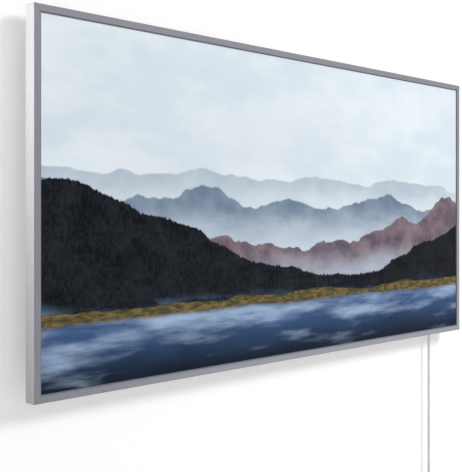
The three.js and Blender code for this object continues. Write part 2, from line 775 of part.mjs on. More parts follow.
// The tray, its collar through the rear panel and the two barbs that hold it there.
function terminalBox() {
  const floorBack = boxFront + boxWall;
  const collarFront = boxFront - collarDepth;
  const collarWidth = outletWidth - 2 * seat;
  const collarHeight = outletHeight - 2 * seat;
  const move = (geometry, x = outletOffset, z = 0) => geometry.translate(x, 0, z);
  let tray = solid(slab(rectangle(boxWidth, boxHeight, boxCorner), boxFront, boxBack));
  const inside = rectangle(boxWidth - 2 * boxWall, boxHeight - 2 * boxWall, boxCorner - boxWall);
  tray = tray.subtract(solid(slab(inside, floorBack, boxBack + 1)));
  for (const [x, z] of lidScrewPlaces) {
    const boss = move(rod(lidBoss, boxFront + 1, boxBack - 0.4, 16), x, z);
    const keepInside = slab(rectangle(boxWidth - 1, boxHeight - 1, boxCorner - 0.5), boxFront, boxBack);
    tray = tray.add(solid(boss).intersect(solid(keepInside)));
  }
  tray = tray.add(solid(move(slab(rectangle(collarWidth, collarHeight, 3 - seat), collarFront, floorBack - 0.5))));
  const passage = rectangle(collarWidth - 2 * collarWall, collarHeight - 2 * collarWall, 3 - seat);
  tray = tray.subtract(solid(move(slab(passage, collarFront - 1, floorBack + 1))));
  for (const side of [-1, 1]) {
    const barbBack = rearPanelFront - seat;
    const end = side * (collarWidth / 2 - 0.2 + collarBarb / 2);
    const barb = slab(rectangle(collarBarb + 0.4, outletHeight / 3), collarFront + 0.6, barbBack);
    tray = tray.add(solid(move(barb, outletOffset + end)));
  }
  const screwHole = screwShank + 2 * screwHoleClearance;
  for (const [x, z] of lidScrewPlaces) {
    tray = tray.subtract(solid(move(rod(screwHole, boxBack - lidScrewLength, boxBack + 1, 12), x, z)));
  }
  const earthHole = rod(screwHole, boxFront - 1, floorBack + 1, 12);
  tray = tray.subtract(solid(move(earthHole, earthX - boxMiddleX, earthZ - boxMiddleZ)));
  const glandHole = pole(glandThread + 0.6, -boxHeight / 2 - 1, -boxHeight / 2 + boxWall + 1);
  tray = tray.subtract(solid(glandHole.translate(cordX - boxMiddleX, cordDepth, 0)));
  return geometryOf(tray);
}
add(panel, 'terminal_box', terminalBox(), whitePlastic, boxMiddleX, 0, boxMiddleZ);

// The lid has a rim that locates inside the tray and a shallow raised field.
function boxLid() {
  const front = boxBack + seat;
  const back = front + lidSheet;
  const plate = slab(rectangle(boxWidth, boxHeight, boxCorner), front, back);
  const fieldShape = rectangle(boxWidth - 2 * lidFieldInset, boxHeight - 2 * lidFieldInset, boxCorner / 2);
  const field = slab(fieldShape, back - lidSheet / 2, back + lidFieldHeight);
  const holes = lidScrewPlaces.map(([x, z]) =>
    rod(screwShank + 2 * screwHoleClearance, front - 1, back + 1, 12).translate(x, 0, z)
  );
  const rimWidth = boxWidth - 2 * (boxWall + seat + lidBoss);
  const rimHeight = boxHeight - 2 * (boxWall + seat);
  const rimShape = rectangle(rimWidth, rimHeight);
  rimShape.holes.push(rectangle(rimWidth - 2 * lidRim, rimHeight - 2 * lidRim));
  const rim = slab(rimShape, front - lidRim, front + lidSheet / 2);
  return cut(join(plate, field, rim), ...holes);
}
add(panel, 'terminal_box_lid', boxLid(), whitePlastic, boxMiddleX, 0, boxMiddleZ);

lidScrewPlaces.forEach(([x, z], i) => {
  const y = boxBack + seat + lidSheet + seat / 2;
  add(panel, `lid_screw_${i + 1}`, panScrew(lidScrewLength - 1, 5), zincSteel, boxMiddleX + x, y, boxMiddleZ + z);
});

// ---------------------------------------------------------------- cable gland and bend sleeve
// Everything here turns about the cord's axis; heights are given from the box's underside.
const gland = new THREE.Group();
gland.position.set(cordX, cordDepth, boxBottom);
panel.add(gland);

const flangeTop = -seat;
const flangeUnder = flangeTop - glandFlange;
const capTop = flangeUnder - seat;
const capUnder = capTop - capHeight;
const boreDiameter = 2 * (sleeveRadius + seat);

function glandBody() {
  const neckTop = boxWall + seat + locknutHeight + 1;
  const flange = post(hexagon(glandHex), flangeUnder, flangeTop);
  const thread = pole(glandThread, flangeUnder - glandNeck, neckTop);
  return cut(join(flange, thread), pole(boreDiameter, flangeUnder - glandNeck - 1, neckTop + 1));
}
add(gland, 'gland_body', glandBody(), whitePlastic);

const locknutUnder = boxWall + seat;
const locknut = cut(
  post(hexagon(glandHex), locknutUnder, locknutUnder + locknutHeight),
  pole(glandThread + 2 * seat, locknutUnder - 1, locknutUnder + locknutHeight + 1)
);
add(gland, 'gland_locknut', locknut, whitePlastic);

// A dome over a hexagon, hollow over the body's neck and open below for the sleeve.
function glandCap() {
  const nutHeight = capHeight * 0.55;
  const nut = post(hexagon(glandHex), capTop - nutHeight, capTop);
  const outer = glandHex / 2;
  const mouth = sleeveRoot - 0.2;
  const dome = turned(
    [
      [0, capUnder],
      [mouth + 0.9, capUnder],
      [outer - 1, capUnder + 2.6],
      [outer - 0.2, capTop - nutHeight - 0.5],
      [outer - 0.2, capTop - 1],
      [0, capTop - 1],
    ],
    24
  ).rotateX(Math.PI / 2);
  const hollow = pole(glandThread + 2 * seat, capTop - glandNeck - 1, capTop + 1);
  const outlet = pole(2 * (sleeveRadius + seat), capUnder - 1, capTop);
  return cut(join(nut, dome), hollow, outlet);
}
add(gland, 'gland_cap', glandCap(), whitePlastic);

// The cord's sheath in the gland, with the tapered and grooved sleeve below the cap.
function bendSleeve() {
  const top = boxWall + locknutHeight + 3;
  const root = capUnder - seat;
  const end = root - sleeveLength + seat;
  const profile = [
    [0, top],
    [sleeveRadius, top],
    [sleeveRadius, root],
    [sleeveRoot, root],
    [sleeveRoot, root - sleeveCollar],
  ];
  const tapered = (share) => sleeveRoot + (cordDiameter / 2 + 0.9 - sleeveRoot) * share;
  const ribRun = (sleeveLength - 2 * sleeveCollar) / sleeveGrooves;
  for (let i = 0; i < sleeveGrooves; i++) {
    const start = root - sleeveCollar - i * ribRun;
    const radius = tapered((i + 1) / sleeveGrooves);
    profile.push([radius - 0.8, start - 0.4], [radius - 0.8, start - ribRun * 0.4]);
    profile.push([radius, start - ribRun * 0.5], [radius, start - ribRun]);
  }
  profile.push([tapered(1), end], [0, end]);
  return turned(profile.reverse(), 16).rotateX(Math.PI / 2);
}
add(gland, 'cord_bend_sleeve', bendSleeve(), whiteRubber);

// ---------------------------------------------------------------- terminal block and leads
const blockFront = boxFront + boxWall + seat;
const poleDepth = blockFront + blockDepth * 0.4;

// A three-way strip: a base with three towers, each with a wire tunnel and a screw shaft.
function terminalBlock() {
  const parts = [slab(rectangle(blockWidth, blockHeight), 0, 3)];
  const tools = [];
  for (const i of [-1, 0, 1]) {
    parts.push(slab(rectangle(blockPitch - 1.2, blockHeight, 1), 2, blockDepth).translate(i * blockPitch, 0, 0));
    for (const end of [-1, 1]) {
      const tunnel = pole(leadDiameter + 1.4, -4, blockHeight, 8);
      tunnel.rotateY(end < 0 ? Math.PI : 0);
      tools.push(tunnel.translate(i * blockPitch, poleDepth - blockFront, (end * blockHeight) / 2));
      tools.push(rod(3.4, blockDepth - 4, blockDepth + 1, 8).translate(i * blockPitch, 0, end * 3.6));
    }
  }
  return cut(join(...parts), ...tools);
}
add(panel, 'terminal_block', terminalBlock(), whitePlastic, blockX, blockFront, blockZ);

const blockTop = blockZ + blockHeight / 2;
const wireEnd = 3; // how far a lead goes into its tunnel
const overBlock = blockTop + leadBend * 0.4;
// A lead leaves its pole square to the block.
const fromPole = (i) => [
  at(blockX + i * blockPitch, poleDepth, blockTop - wireEnd),
  at(blockX + i * blockPitch, poleDepth, blockTop + leadDiameter * 0.4),
];

// From the first pole, over the block and through the collar to the cut-out's nearer tab.
const onTab = tabBack + leadDiameter / 2 + seat;
const liveLead = [
  ...fromPole(-1),
  at(blockX - blockPitch - leadBend * 0.4, poleDepth, overBlock),
  at(outletX + outletWidth * 0.31, poleDepth - leadDiameter * 0.4, boxMiddleZ + outletHeight * 0.3),
  at(outletX + outletWidth * 0.11, boxFront - leadDiameter * 0.4, boxMiddleZ + outletHeight * 0.1),
  at(cutoutX + tabSpread + leadBend * 0.3, onTab + leadDiameter * 0.3, boxMiddleZ),
  at(cutoutX + tabSpread, onTab, boxMiddleZ),
];
add(panel, 'lead_live', tube(liveLead, leadDiameter, 8, 24), redSilicone);

// From the cut-out's further tab, up the slot to the upper busbar.
const slotMiddle = (insulationFront + insulationBack) / 2;
const onBusbar = busbarFront + busbarSheet + seat;
const cutoutLead = [
  at(cutoutX - tabSpread, onTab, boxMiddleZ),
  at(cutoutX - tabSpread - leadBend * 0.3, onTab, boxMiddleZ + leadBend * 0.3),
  at(topLeadX, slotMiddle + leadDiameter, boxMiddleZ + leadBend * 1.5),
  at(topLeadX, slotMiddle, boxMiddleZ + leadBend * 5),
  at(topLeadX, slotMiddle, busbarZ - leadBend * 3),
  at(topLeadX, slotMiddle - leadDiameter * 0.4, busbarZ - leadBend),
  at(topLeadX, onBusbar + leadDiameter, busbarZ),
  at(topLeadX, onBusbar, busbarZ),
];
add(panel, 'lead_cutout', tube(cutoutLead, leadDiameter, 8, 40), redSilicone);

// From the second pole, over the first one's lead, through the collar and down to the lower busbar.
const neutralLead = [
  ...fromPole(0),
  at(blockX - leadBend * 0.6, poleDepth + leadDiameter * 2.1, overBlock + leadDiameter * 0.2),
  at(bottomLeadX + leadBend * 0.25, poleDepth + leadDiameter * 2.1, overBlock - leadDiameter * 0.8),
  at(bottomLeadX, poleDepth + leadDiameter * 0.4, boxMiddleZ + outletHeight * 0.33),
  at(bottomLeadX, boxFront + leadDiameter * 0.8, boxMiddleZ + outletHeight * 0.1),
  at(bottomLeadX, slotMiddle + leadDiameter * 0.4, boxMiddleZ - leadBend * 0.7),
  at(bottomLeadX, slotMiddle, boxMiddleZ - leadBend * 2),
  at(bottomLeadX, slotMiddle - leadDiameter * 0.4, leadBend - busbarZ),
  at(bottomLeadX, onBusbar + leadDiameter, -busbarZ),
  at(bottomLeadX, onBusbar, -busbarZ),
];
add(panel, 'lead_neutral', tube(neutralLead, leadDiameter, 8, 40), blueSilicone);

// A ring lug under the earth screw, which goes through the box's floor into the rear panel.
const lugBack = boxFront + boxWall + seat + lugSheet;
const barrelLength = lugLength - lugRadius + 0.5;
const barrelMiddle = lugBack + (lugBarrel / 2 - lugSheet) / 2;
function earthLug() {
  const ring = slab(new THREE.Shape().absarc(0, 0, lugRadius, 0, Math.PI * 2), -lugSheet, 0);
  const barrel = slab(rectangle(barrelLength, lugBarrel), -lugSheet, lugBarrel / 2);
  barrel.translate(lugLength - barrelLength / 2, 0, 0);
  return cut(join(ring, barrel), rod(screwShank + 2 * screwHoleClearance, -lugRadius, lugRadius, 12));
}
const earthScrewLength = lugBack - rearPanelFront + leadDiameter;
add(panel, 'earth_lug', earthLug(), nickel, earthX, lugBack, earthZ);
add(panel, 'earth_screw', panScrew(earthScrewLength), zincSteel, earthX, lugBack + seat / 2, earthZ);

// From the third pole, back over the block and straight into the lug's barrel.
const lugEnd = earthX + lugLength + seat;
const earthLead = [
  ...fromPole(1),
  at(blockX + blockPitch - leadDiameter * 0.4, poleDepth - leadDiameter * 0.6, blockTop + leadBend * 0.33),
  at(lugEnd + leadDiameter * 1.4, barrelMiddle, earthZ),
  at(lugEnd, barrelMiddle, earthZ),
];
add(panel, 'lead_earth', tube(earthLead, leadDiameter, 8, 16), greenSilicone);

// ---------------------------------------------------------------- cord
// The cord comes down straight, bends aside and runs into the coil at the bend's angle.
// The coil ends a quarter turn past its top, heading straight down.
const coilTurns = coilWholeTurns + cordBendAngle / (2 * Math.PI);
const coilOuterRadius = coilInnerRadius + (coilPitch * coilTurns) / 2;
const intoCoil = at(Math.sin(cordBendAngle), 0, -Math.cos(cordBendAngle));
const bendCentre = at(cordX + cordBendRadius, -cordFromWall, -cordDrop);
const bendPoint = (share) => {
  const angle = Math.PI + cordBendAngle * share;
  return bendCentre.clone().add(at(cordBendRadius * Math.cos(angle), 0, cordBendRadius * Math.sin(angle)));
};
const firstTurn = bendPoint(1).addScaledVector(intoCoil, cordIntoCoil);
const coilCentre = firstTurn.clone();
coilCentre.x -= coilOuterRadius * Math.cos(cordBendAngle);
coilCentre.z -= coilOuterRadius * Math.sin(cordBendAngle);

// The turns lie in two layers: they spiral in on the first, climb a layer in the half turn
// where the spiral reverses, and spiral out again on the second.
function coilPoints() {
  const points = [firstTurn.clone().addScaledVector(intoCoil, -cordDiameter)];
  const reverses = coilTurns / 2;
  const steps = Math.round(coilTurns * coilSteps);
  for (let i = 0; i <= steps; i++) {
    const turn = (coilTurns * i) / steps;
    const angle = cordBendAngle - turn * Math.PI * 2;
    const radius = coilInnerRadius + coilPitch * Math.abs(turn - reverses);
    const climb = THREE.MathUtils.smoothstep(turn, reverses - 0.25, reverses + 0.25);
    const place = at(radius * Math.cos(angle), -coilPitch * climb, radius * Math.sin(angle));
    points.push(place.add(coilCentre));
  }
  points.push(points[points.length - 1].clone().add(at(0, 0, -cordDiameter)));
  return points;
}

// The least distance between two turns' surfaces, measured between points along the centre line.
function leastGap(points, diameter) {
  let least = Infinity;
  const path = new THREE.CatmullRomCurve3(points, false, 'centripetal');
  const samples = path.getSpacedPoints(900);
  const apart = Math.ceil((3 * diameter) / (path.getLength() / 900));
  for (let i = 0; i < samples.length; i++) {
    for (let j = i + apart; j < samples.length; j++) {
      least = Math.min(least, samples[i].distanceTo(samples[j]));
    }
  }
  return least - diameter;
}

const coilLine = coilPoints();
const coilStart = coilLine[0];
const coilEnd = coilLine[coilLine.length - 1];
const coilLength = new THREE.CatmullRomCurve3(coilLine, false, 'centripetal').getLength();
add(heater, 'cord_coil', tube(coilLine, cordDiameter, 6, coilLine.length - 1), whiteRubber);
console.log(`coil: ${coilLength.toFixed(0)} mm of cord, least gap ${leastGap(coilLine, cordDiameter).toFixed(2)} mm`);

// The free stretch: straight down the wall, round the bend and up to the coil.
const cordTop = panelMiddle + sleeveEnd - seat;
const straightSteps = 7;
const runLine = [];
for (let i = 0; i < straightSteps; i++) {
  runLine.push(at(cordX, -cordFromWall, THREE.MathUtils.lerp(cordTop, -cordDrop, i / straightSteps)));
}
for (let i = 0; i <= 4; i++) runLine.push(bendPoint(i / 4));
runLine.push(coilStart.clone().addScaledVector(intoCoil, -seat));
const runLength = new THREE.CatmullRomCurve3(runLine, false, 'centripetal').getLength();
add(heater, 'cord_run', tube(runLine, cordDiameter, 10, 34), whiteRubber);

const plugTop = coilEnd.clone().add(at(0, 0, -seat - tailLength));
const tailLine = [coilEnd.clone().add(at(0, 0, -seat)), coilEnd.clone().add(at(0, 0, -tailLength / 2)), plugTop];
add(heater, 'cord_tail', tube(tailLine, cordDiameter, 10, 3), whiteRubber);
console.log(`cord: ${(runLength + coilLength + tailLength).toFixed(0)} mm in all`);

// A strap round the bundle of turns, square to them.
function cordTie() {
  const turnsWide = coilPitch * (coilTurns / 2);
  const across = turnsWide + cordDiameter + 1.6;
  const deep = coilPitch + cordDiameter + 1.2;
  const strap = rectangle(across + 2 * tieSheet, deep + 2 * tieSheet, 3.2);
  strap.holes.push(rectangle(across, deep, 2));
  const made = new THREE.ExtrudeGeometry(strap, { depth: tieWidth, bevelEnabled: false, curveSegments: 4 });
  made.translate(coilInnerRadius + turnsWide / 2, -coilPitch / 2, -tieWidth / 2);
  return made;
}
add(heater, 'cord_tie', cordTie(), greyRubber, ...coilCentre.toArray()).rotation.y = -tieAngle;

// ---------------------------------------------------------------- plug
const plug = new THREE.Group();
plug.position.copy(plugTop).add(at(0, 0, -seat));
heater.add(plug);

// Heights go down from the cord's end; the pins stand out of the round face.
function plugBody() {
  const face = plugFace / 2;
  const grip = plugGrip / 2;
  const neck = plugNeck / 2;
  const shoulder = plugLength - plugFaceHeight;
  const profile = [
    [0, 0],
    [neck - 0.8, 0],
    [neck, -1],
    [neck + 0.6, -plugLength * 0.17],
    [grip * 0.72, -plugLength * 0.29],
    [grip * 0.96, -plugLength * 0.37],
    [grip, -plugLength * 0.46],
    [grip * 0.95, -plugLength * 0.58],
    [face - 1.2, -shoulder],
    [face, -shoulder - 1.4],
    [face, -plugLength + 1],
    [face - 1, -plugLength],
    [0, -plugLength],
  ];
  const body = turned(profile.reverse(), 32).rotateX(Math.PI / 2);
  const tools = [];
  for (const side of [-1, 1]) {
    const groove = post(rectangle(earthSlotWidth, 2 * earthSlotDepth), -plugLength - 1, -shoulder + 1);
    tools.push(groove.translate(0, side * face, 0));
    const pinHole = pole(pinDiameter + 2 * seat, -plugLength - 1, -plugLength + pinRoot + seat);
    tools.push(pinHole.translate((side * pinSpacing) / 2, 0, 0));
    const thumbHollow = post(rectangle(plugGrip * 0.2, plugGrip * 1.1), -plugLength * 0.56, -plugLength * 0.35);
    tools.push(thumbHollow.translate(side * grip * 1.04, 0, 0));
  }
  return cut(body, ...tools);
}
add(plug, 'plug_body', plugBody(), whitePlastic);

function plugPin() {
  const radius = pinDiameter / 2;
  const profile = [
    [0, -pinLength],
    [radius - 1.2, -pinLength],
    [radius - 0.3, -pinLength + 0.9],
    [radius, -pinLength + 2],
    [radius, pinRoot],
    [0, pinRoot],
  ];
  return turned(profile, 16).rotateX(Math.PI / 2);
}
for (const [name, side] of [['plug_pin_left', -1], ['plug_pin_right', 1]]) {
  add(plug, name, plugPin(), nickel, (side * pinSpacing) / 2, 0, -plugLength);
}

// A bent spring strip in each groove.
for (const [name, side] of [['plug_earth_front', -1], ['plug_earth_rear', 1]]) {
  const floor = side * (plugFace / 2 - earthSlotDepth + seat + earthContactSheet / 2);
  const strip = post(rectangle(earthSlotWidth - 2, earthContactSheet), 0, plugFaceHeight - 3);
  add(plug, name, strip, nickel, 0, floor, -plugLength + 0.5);
}

export default heater;
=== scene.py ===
import json
import math

import bpy
from mathutils import Matrix, Vector

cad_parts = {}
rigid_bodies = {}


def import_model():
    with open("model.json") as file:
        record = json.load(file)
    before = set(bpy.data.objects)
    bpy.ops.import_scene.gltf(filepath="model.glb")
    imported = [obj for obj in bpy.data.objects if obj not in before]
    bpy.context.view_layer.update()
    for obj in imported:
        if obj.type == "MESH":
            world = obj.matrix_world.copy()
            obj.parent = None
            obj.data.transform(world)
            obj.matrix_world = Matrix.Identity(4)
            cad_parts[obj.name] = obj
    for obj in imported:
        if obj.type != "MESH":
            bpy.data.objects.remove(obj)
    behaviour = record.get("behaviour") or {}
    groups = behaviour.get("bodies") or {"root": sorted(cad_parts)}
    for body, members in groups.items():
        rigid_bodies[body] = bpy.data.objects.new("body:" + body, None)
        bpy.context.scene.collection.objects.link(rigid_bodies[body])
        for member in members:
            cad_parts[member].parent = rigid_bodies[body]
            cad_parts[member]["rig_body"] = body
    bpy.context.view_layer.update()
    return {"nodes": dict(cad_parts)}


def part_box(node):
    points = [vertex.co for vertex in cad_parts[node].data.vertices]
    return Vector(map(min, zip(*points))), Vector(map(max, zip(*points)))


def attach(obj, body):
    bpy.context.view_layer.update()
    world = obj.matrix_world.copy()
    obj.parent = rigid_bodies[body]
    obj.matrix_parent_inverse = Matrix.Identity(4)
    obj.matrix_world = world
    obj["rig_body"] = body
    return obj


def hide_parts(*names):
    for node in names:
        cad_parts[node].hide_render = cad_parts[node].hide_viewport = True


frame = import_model()
scene = bpy.context.scene
scene.view_settings.view_transform = "Standard"

# ------------------------------------------------------------------ viewpoint
# The heater is seen from the left, a good metre and a half off, at the height of its lower half.
# The view is level, so the upright edges stay upright, and the window is shifted a little down.
look_from = Vector((-1.2923, -1.1704, -0.2155))
look_azimuth = math.radians(44.53)
lens_mm = 65.88
window_shift = -22 / 472  # 22 of the 472 lines that the view has

camera_data = bpy.data.cameras.new("viewpoint")
camera_data.lens = lens_mm
camera_data.sensor_width = 36
camera_data.shift_y = window_shift
camera_data.clip_start = 0.01
camera = bpy.data.objects.new("viewpoint", camera_data)
camera.location = look_from
camera.rotation_euler = (math.radians(90), 0, -look_azimuth)
scene.collection.objects.link(camera)
scene.camera = camera

# ------------------------------------------------------------------ mains cord
# A pale round three-core cord, 6 mm across and 1.8 m long, with a smooth, slightly glossy sheath.
# It hangs straight down the wall from the gland, and what isn't needed is wound in two layers
# under it and held by a rubber strap.
mm = 0.001
cord_diameter = 6 * mm
cord_wall_gap = 15 * mm
cord_x = 516 * mm
cord_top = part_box("cord_run")[1].z
straight_end = -845 * mm
bend_radius = 30 * mm
bend_angle = math.radians(52)
into_coil = 14 * mm
coil_inner = 25.2 * mm
coil_pitch = 6.7 * mm
coil_turns = 6 + bend_angle / (2 * math.pi)
coil_outer = coil_inner + coil_pitch * coil_turns / 2
layer_change = 0.25  # of a turn to each side, in which the cord climbs to its second layer
tail_length = 24 * mm
touch = 0.3 * mm  # the air between neighbours
straight_steps = 18
bend_steps = 8
coil_steps = 24  # in one turn


def smoothstep(value, low, high):
    """0 below low, 1 above high, smooth in between."""
    share = min(max((value - low) / (high - low), 0), 1)
    return share * share * (3 - 2 * share)


def cord_route():
    """The cord's centre line, and the middle of its coil."""
    heading = Vector((math.sin(bend_angle), 0, -math.cos(bend_angle)))
    bend_centre = Vector((cord_x + bend_radius, -cord_wall_gap, straight_end))
    points = []
    for step in range(straight_steps):
        height = cord_top + (straight_end - cord_top) * step / straight_steps
        points.append(Vector((cord_x, -cord_wall_gap, height)))
    for step in range(bend_steps + 1):
        turned = math.pi + bend_angle * step / bend_steps
        points.append(bend_centre + bend_radius * Vector((math.cos(turned), 0, math.sin(turned))))
    first_turn = points[-1] + into_coil * heading
    points.append(points[-1] + into_coil * 0.5 * heading)
    middle = first_turn - coil_outer * Vector((math.cos(bend_angle), 0, math.sin(bend_angle)))
    half_way = coil_turns / 2
    steps = round(coil_turns * coil_steps)
    for step in range(steps + 1):
        turn = coil_turns * step / steps
        angle = bend_angle - turn * 2 * math.pi
        radius = coil_inner + coil_pitch * abs(turn - half_way)
        climb = coil_pitch * smoothstep(turn, half_way - layer_change, half_way + layer_change)
        points.append(middle + Vector((radius * math.cos(angle), -climb, radius * math.sin(angle))))
    end = points[-1]
    for drop in (0, tail_length / 2, tail_length):
        points.append(end - Vector((0, 0, cord_diameter + touch + drop)))
    return points, middle


route, coil_centre = cord_route()
cord_curve = bpy.data.curves.new("mains_cord", "CURVE")
cord_curve.dimensions = "3D"
cord_curve.resolution_u = 3
cord_curve.bevel_depth = 1  # each point's radius scales it
cord_curve.bevel_resolution = 5
cord_curve.use_fill_caps = True
spline = cord_curve.splines.new("BEZIER")
spline.bezier_points.add(len(route) - 1)
for index, knot in enumerate(spline.bezier_points):
    before = route[max(index - 1, 0)]
    after = route[min(index + 1, len(route) - 1)]
    knot.handle_left_type = "FREE"
    knot.handle_right_type = "FREE"
    knot.radius = cord_diameter / 2
    knot.co = route[index]
    knot.handle_left = route[index] - (after - before) / 6
    knot.handle_right = route[index] + (after - before) / 6
mains_cord = bpy.data.objects.new("mains_cord", cord_curve)
scene.collection.objects.link(mains_cord)
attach(mains_cord, "panel")
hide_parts("cord_run", "cord_coil", "cord_tail")


class Value:
    """A shader socket that takes part in Python arithmetic."""

    tree = None

    def __init__(self, socket):
        self.socket = socket

    @classmethod
    def node(cls, kind, settings=None, output=0, **inputs):
        """Adds a node: its settings first, then its inputs, by name or as i0, i1 and so on."""
        made = cls.tree.nodes.new(kind)
        for name, setting in (settings or {}).items():
            setattr(made, name, setting)
        for name, given in inputs.items():
            numbered = name[0] == "i" and name[1:].isdigit()
            socket = made.inputs[int(name[1:]) if numbered else name.replace("_", " ")]
            if isinstance(given, Value):
                cls.tree.links.new(given.socket, socket)
            elif socket.type == "RGBA":
                socket.default_value = (*given, 1)
            else:
                socket.default_value = given
        return cls(made.outputs[output])

    def maths(self, operation, *others):
        """A Math node on this value and the others."""
        given = {f"i{place}": value for place, value in enumerate((self, *others))}
        return Value.node("ShaderNodeMath", {"operation": operation}, **given)

    def __add__(self, other):
        return self.maths("ADD", other)

    def __sub__(self, other):
        return self.maths("SUBTRACT", other)

    def __rsub__(self, other):
        return Value.node("ShaderNodeMath", {"operation": "SUBTRACT"}, i0=other, i1=self)

    def __mul__(self, other):
        return self.maths("MULTIPLY", other)

    __radd__ = __add__
    __rmul__ = __mul__

    def above(self, low, high):
        """A value of 0 below low, 1 above high, smooth in between."""
        smooth = {"interpolation_type": "SMOOTHSTEP"}
        return Value.node("ShaderNodeMapRange", smooth, i0=self, i1=low, i2=high)

    def mixed(self, first, second):
        """A colour between two, this value being the share of the second."""
        colours = {"data_type": "RGBA"}
        return Value.node("ShaderNodeMix", colours, output=2, i0=self, i6=first, i7=second)


def tint(red, green, blue):
    """A colour as a screen shows it, from 0 to 255, in the linear shares that the shader takes."""
    return tuple(((part / 255 + 0.055) / 1.055) ** 2.4 for part in (red, green, blue))


def finish_named(name, constants, build):
    """A Principled material: its constants, and from build what varies over the piece."""
    material = bpy.data.materials.new(name)
    material.use_nodes = True
    tree = material.node_tree
    shader = tree.nodes["Principled BSDF"]
    for socket, value in constants.items():
        shader.inputs[socket].default_value = value
    Value.tree = tree
    place = Value.node("ShaderNodeTexCoord", output="Object")
    for socket, value in build(place).items():
        tree.links.new(value.socket, shader.inputs[socket])
    return material


def noise(place, scale, detail=2, roughness=0.5, stretch=(1, 1, 1)):
    """Noise of about scale grains in a metre, drawn out along an axis where stretch is small."""
    drawn = Value.node("ShaderNodeMapping", Vector=place, Scale=stretch)
    grain = {"Scale": scale, "Detail": detail, "Roughness": roughness}
    return Value.node("ShaderNodeTexNoise", Vector=drawn, **grain)


def bumped(height, strength, distance):
    """A normal from a relief that stands so many metres high, at a strength from 0 to 1."""
    return Value.node("ShaderNodeBump", Strength=strength, Distance=distance, Height=height)


def sheath(place):
    mottle = noise(place, 60, 3)
    grain = noise(place, 900, 2)
    return {
        "Base Color": mottle.above(0.35, 0.7).mixed(tint(206, 202, 205), tint(216, 212, 214)),
        "Roughness": 0.4 + 0.12 * mottle,
        "Normal": bumped(grain, 0.12, 0.0003),
    }


cord_sheath = finish_named("cord_sheath", {"Specular IOR Level": 0.45}, sheath)
mains_cord.data.materials.append(cord_sheath)

# ------------------------------------------------------------------ strap on the coil
# A moulded rubber strap round the turns. Its tongue lies over its own front and is held by a
# round button pushed through it.
strap_angle = math.radians(30)
tongue_width = 6.4 * mm
tongue_length = 16 * mm
tongue_sheet = 1.1 * mm
button_radius = 2.2 * mm
button_height = 1.3 * mm
overlap = 0.2 * mm  # of parts that are joined into one
weld_within = 0.001 * mm
flat_within = math.radians(1)
off_middle = 0.01 * mm  # what is farther out than this doesn't lie in the middle
smooth_below = math.radians(35)


def hold(piece):
    """Selects this piece alone, for the operators that follow."""
    bpy.ops.object.select_all(action="DESELECT")
    bpy.context.view_layer.objects.active = piece
    piece.select_set(True)


def soft_copy(node, width, angle=50):
    """A copy that stands for a CAD node. Edges that turn by more than the angle are rounded."""
    piece = bpy.data.objects.new(node + "_finished", frame["nodes"][node].data.copy())
    scene.collection.objects.link(piece)
    hold(piece)
    bpy.ops.object.mode_set(mode="EDIT")
    bpy.ops.mesh.select_all(action="SELECT")
    bpy.ops.mesh.remove_doubles(threshold=weld_within)
    bpy.ops.mesh.dissolve_limited(angle_limit=flat_within)
    bpy.ops.object.mode_set(mode="OBJECT")
    rounding = piece.modifiers.new("rounding", "BEVEL")
    rounding.width = width
    rounding.segments = 2
    rounding.limit_method = "ANGLE"
    rounding.angle_limit = math.radians(angle)
    bpy.ops.object.modifier_apply(modifier=rounding.name)
    bpy.ops.object.shade_smooth_by_angle(angle=smooth_below)
    flats = piece.modifiers.new("flats", "WEIGHTED_NORMAL")
    flats.keep_sharp = True  # large faces stay flat beside the rounding
    bpy.ops.object.modifier_apply(modifier=flats.name)
    piece.select_set(False)
    return fitted(piece, node)


def fitted(piece, *nodes):
    """The piece rides on the body of the nodes that it stands for, which are hidden."""
    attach(piece, frame["nodes"][nodes[0]]["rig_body"])
    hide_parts(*nodes)
    return piece


def dressed(piece, material):
    """The piece in its one material."""
    piece.data.materials.clear()
    piece.data.materials.append(material)
    return piece


def drawn_round(name, steps, sides=40):
    """A round piece on the upright axis, drawn out of a disc by steps of radius and height."""
    bpy.ops.object.select_all(action="DESELECT")
    radius, height = steps[0]
    disc = {"vertices": sides, "radius": radius, "fill_type": "NGON"}
    bpy.ops.mesh.primitive_circle_add(location=(0, 0, height), **disc)
    piece = bpy.context.object
    piece.name = name
    bpy.ops.object.transform_apply(location=True, rotation=True, scale=True)
    bpy.ops.object.mode_set(mode="EDIT")
    bpy.ops.mesh.select_all(action="SELECT")
    for next_radius, next_height in steps[1:]:
        rise = next_height - height
        bpy.ops.mesh.extrude_region_move(TRANSFORM_OT_translate={"value": (0, 0, rise)})
        share = next_radius / radius
        bpy.ops.transform.resize(value=(share, share, 1), center_override=(0, 0, next_height))
        radius, height = next_radius, next_height
    bpy.ops.mesh.select_all(action="SELECT")
    bpy.ops.mesh.normals_make_consistent(inside=False)
    bpy.ops.object.mode_set(mode="OBJECT")
    bpy.ops.object.shade_smooth_by_angle(angle=smooth_below)
    piece.select_set(False)
    return piece


def combined(piece, other, operation):
    """Cuts the other piece away from this one, or joins it, and removes the other."""
    step = piece.modifiers.new("shaping", "BOOLEAN")
    step.operation = operation
    step.solver = "EXACT"
    step.object = other
    hold(piece)
    bpy.ops.object.modifier_apply(modifier=step.name)
    bpy.ops.object.shade_smooth_by_angle(angle=smooth_below)
    piece.select_set(False)
    bpy.data.objects.remove(other)
    return piece


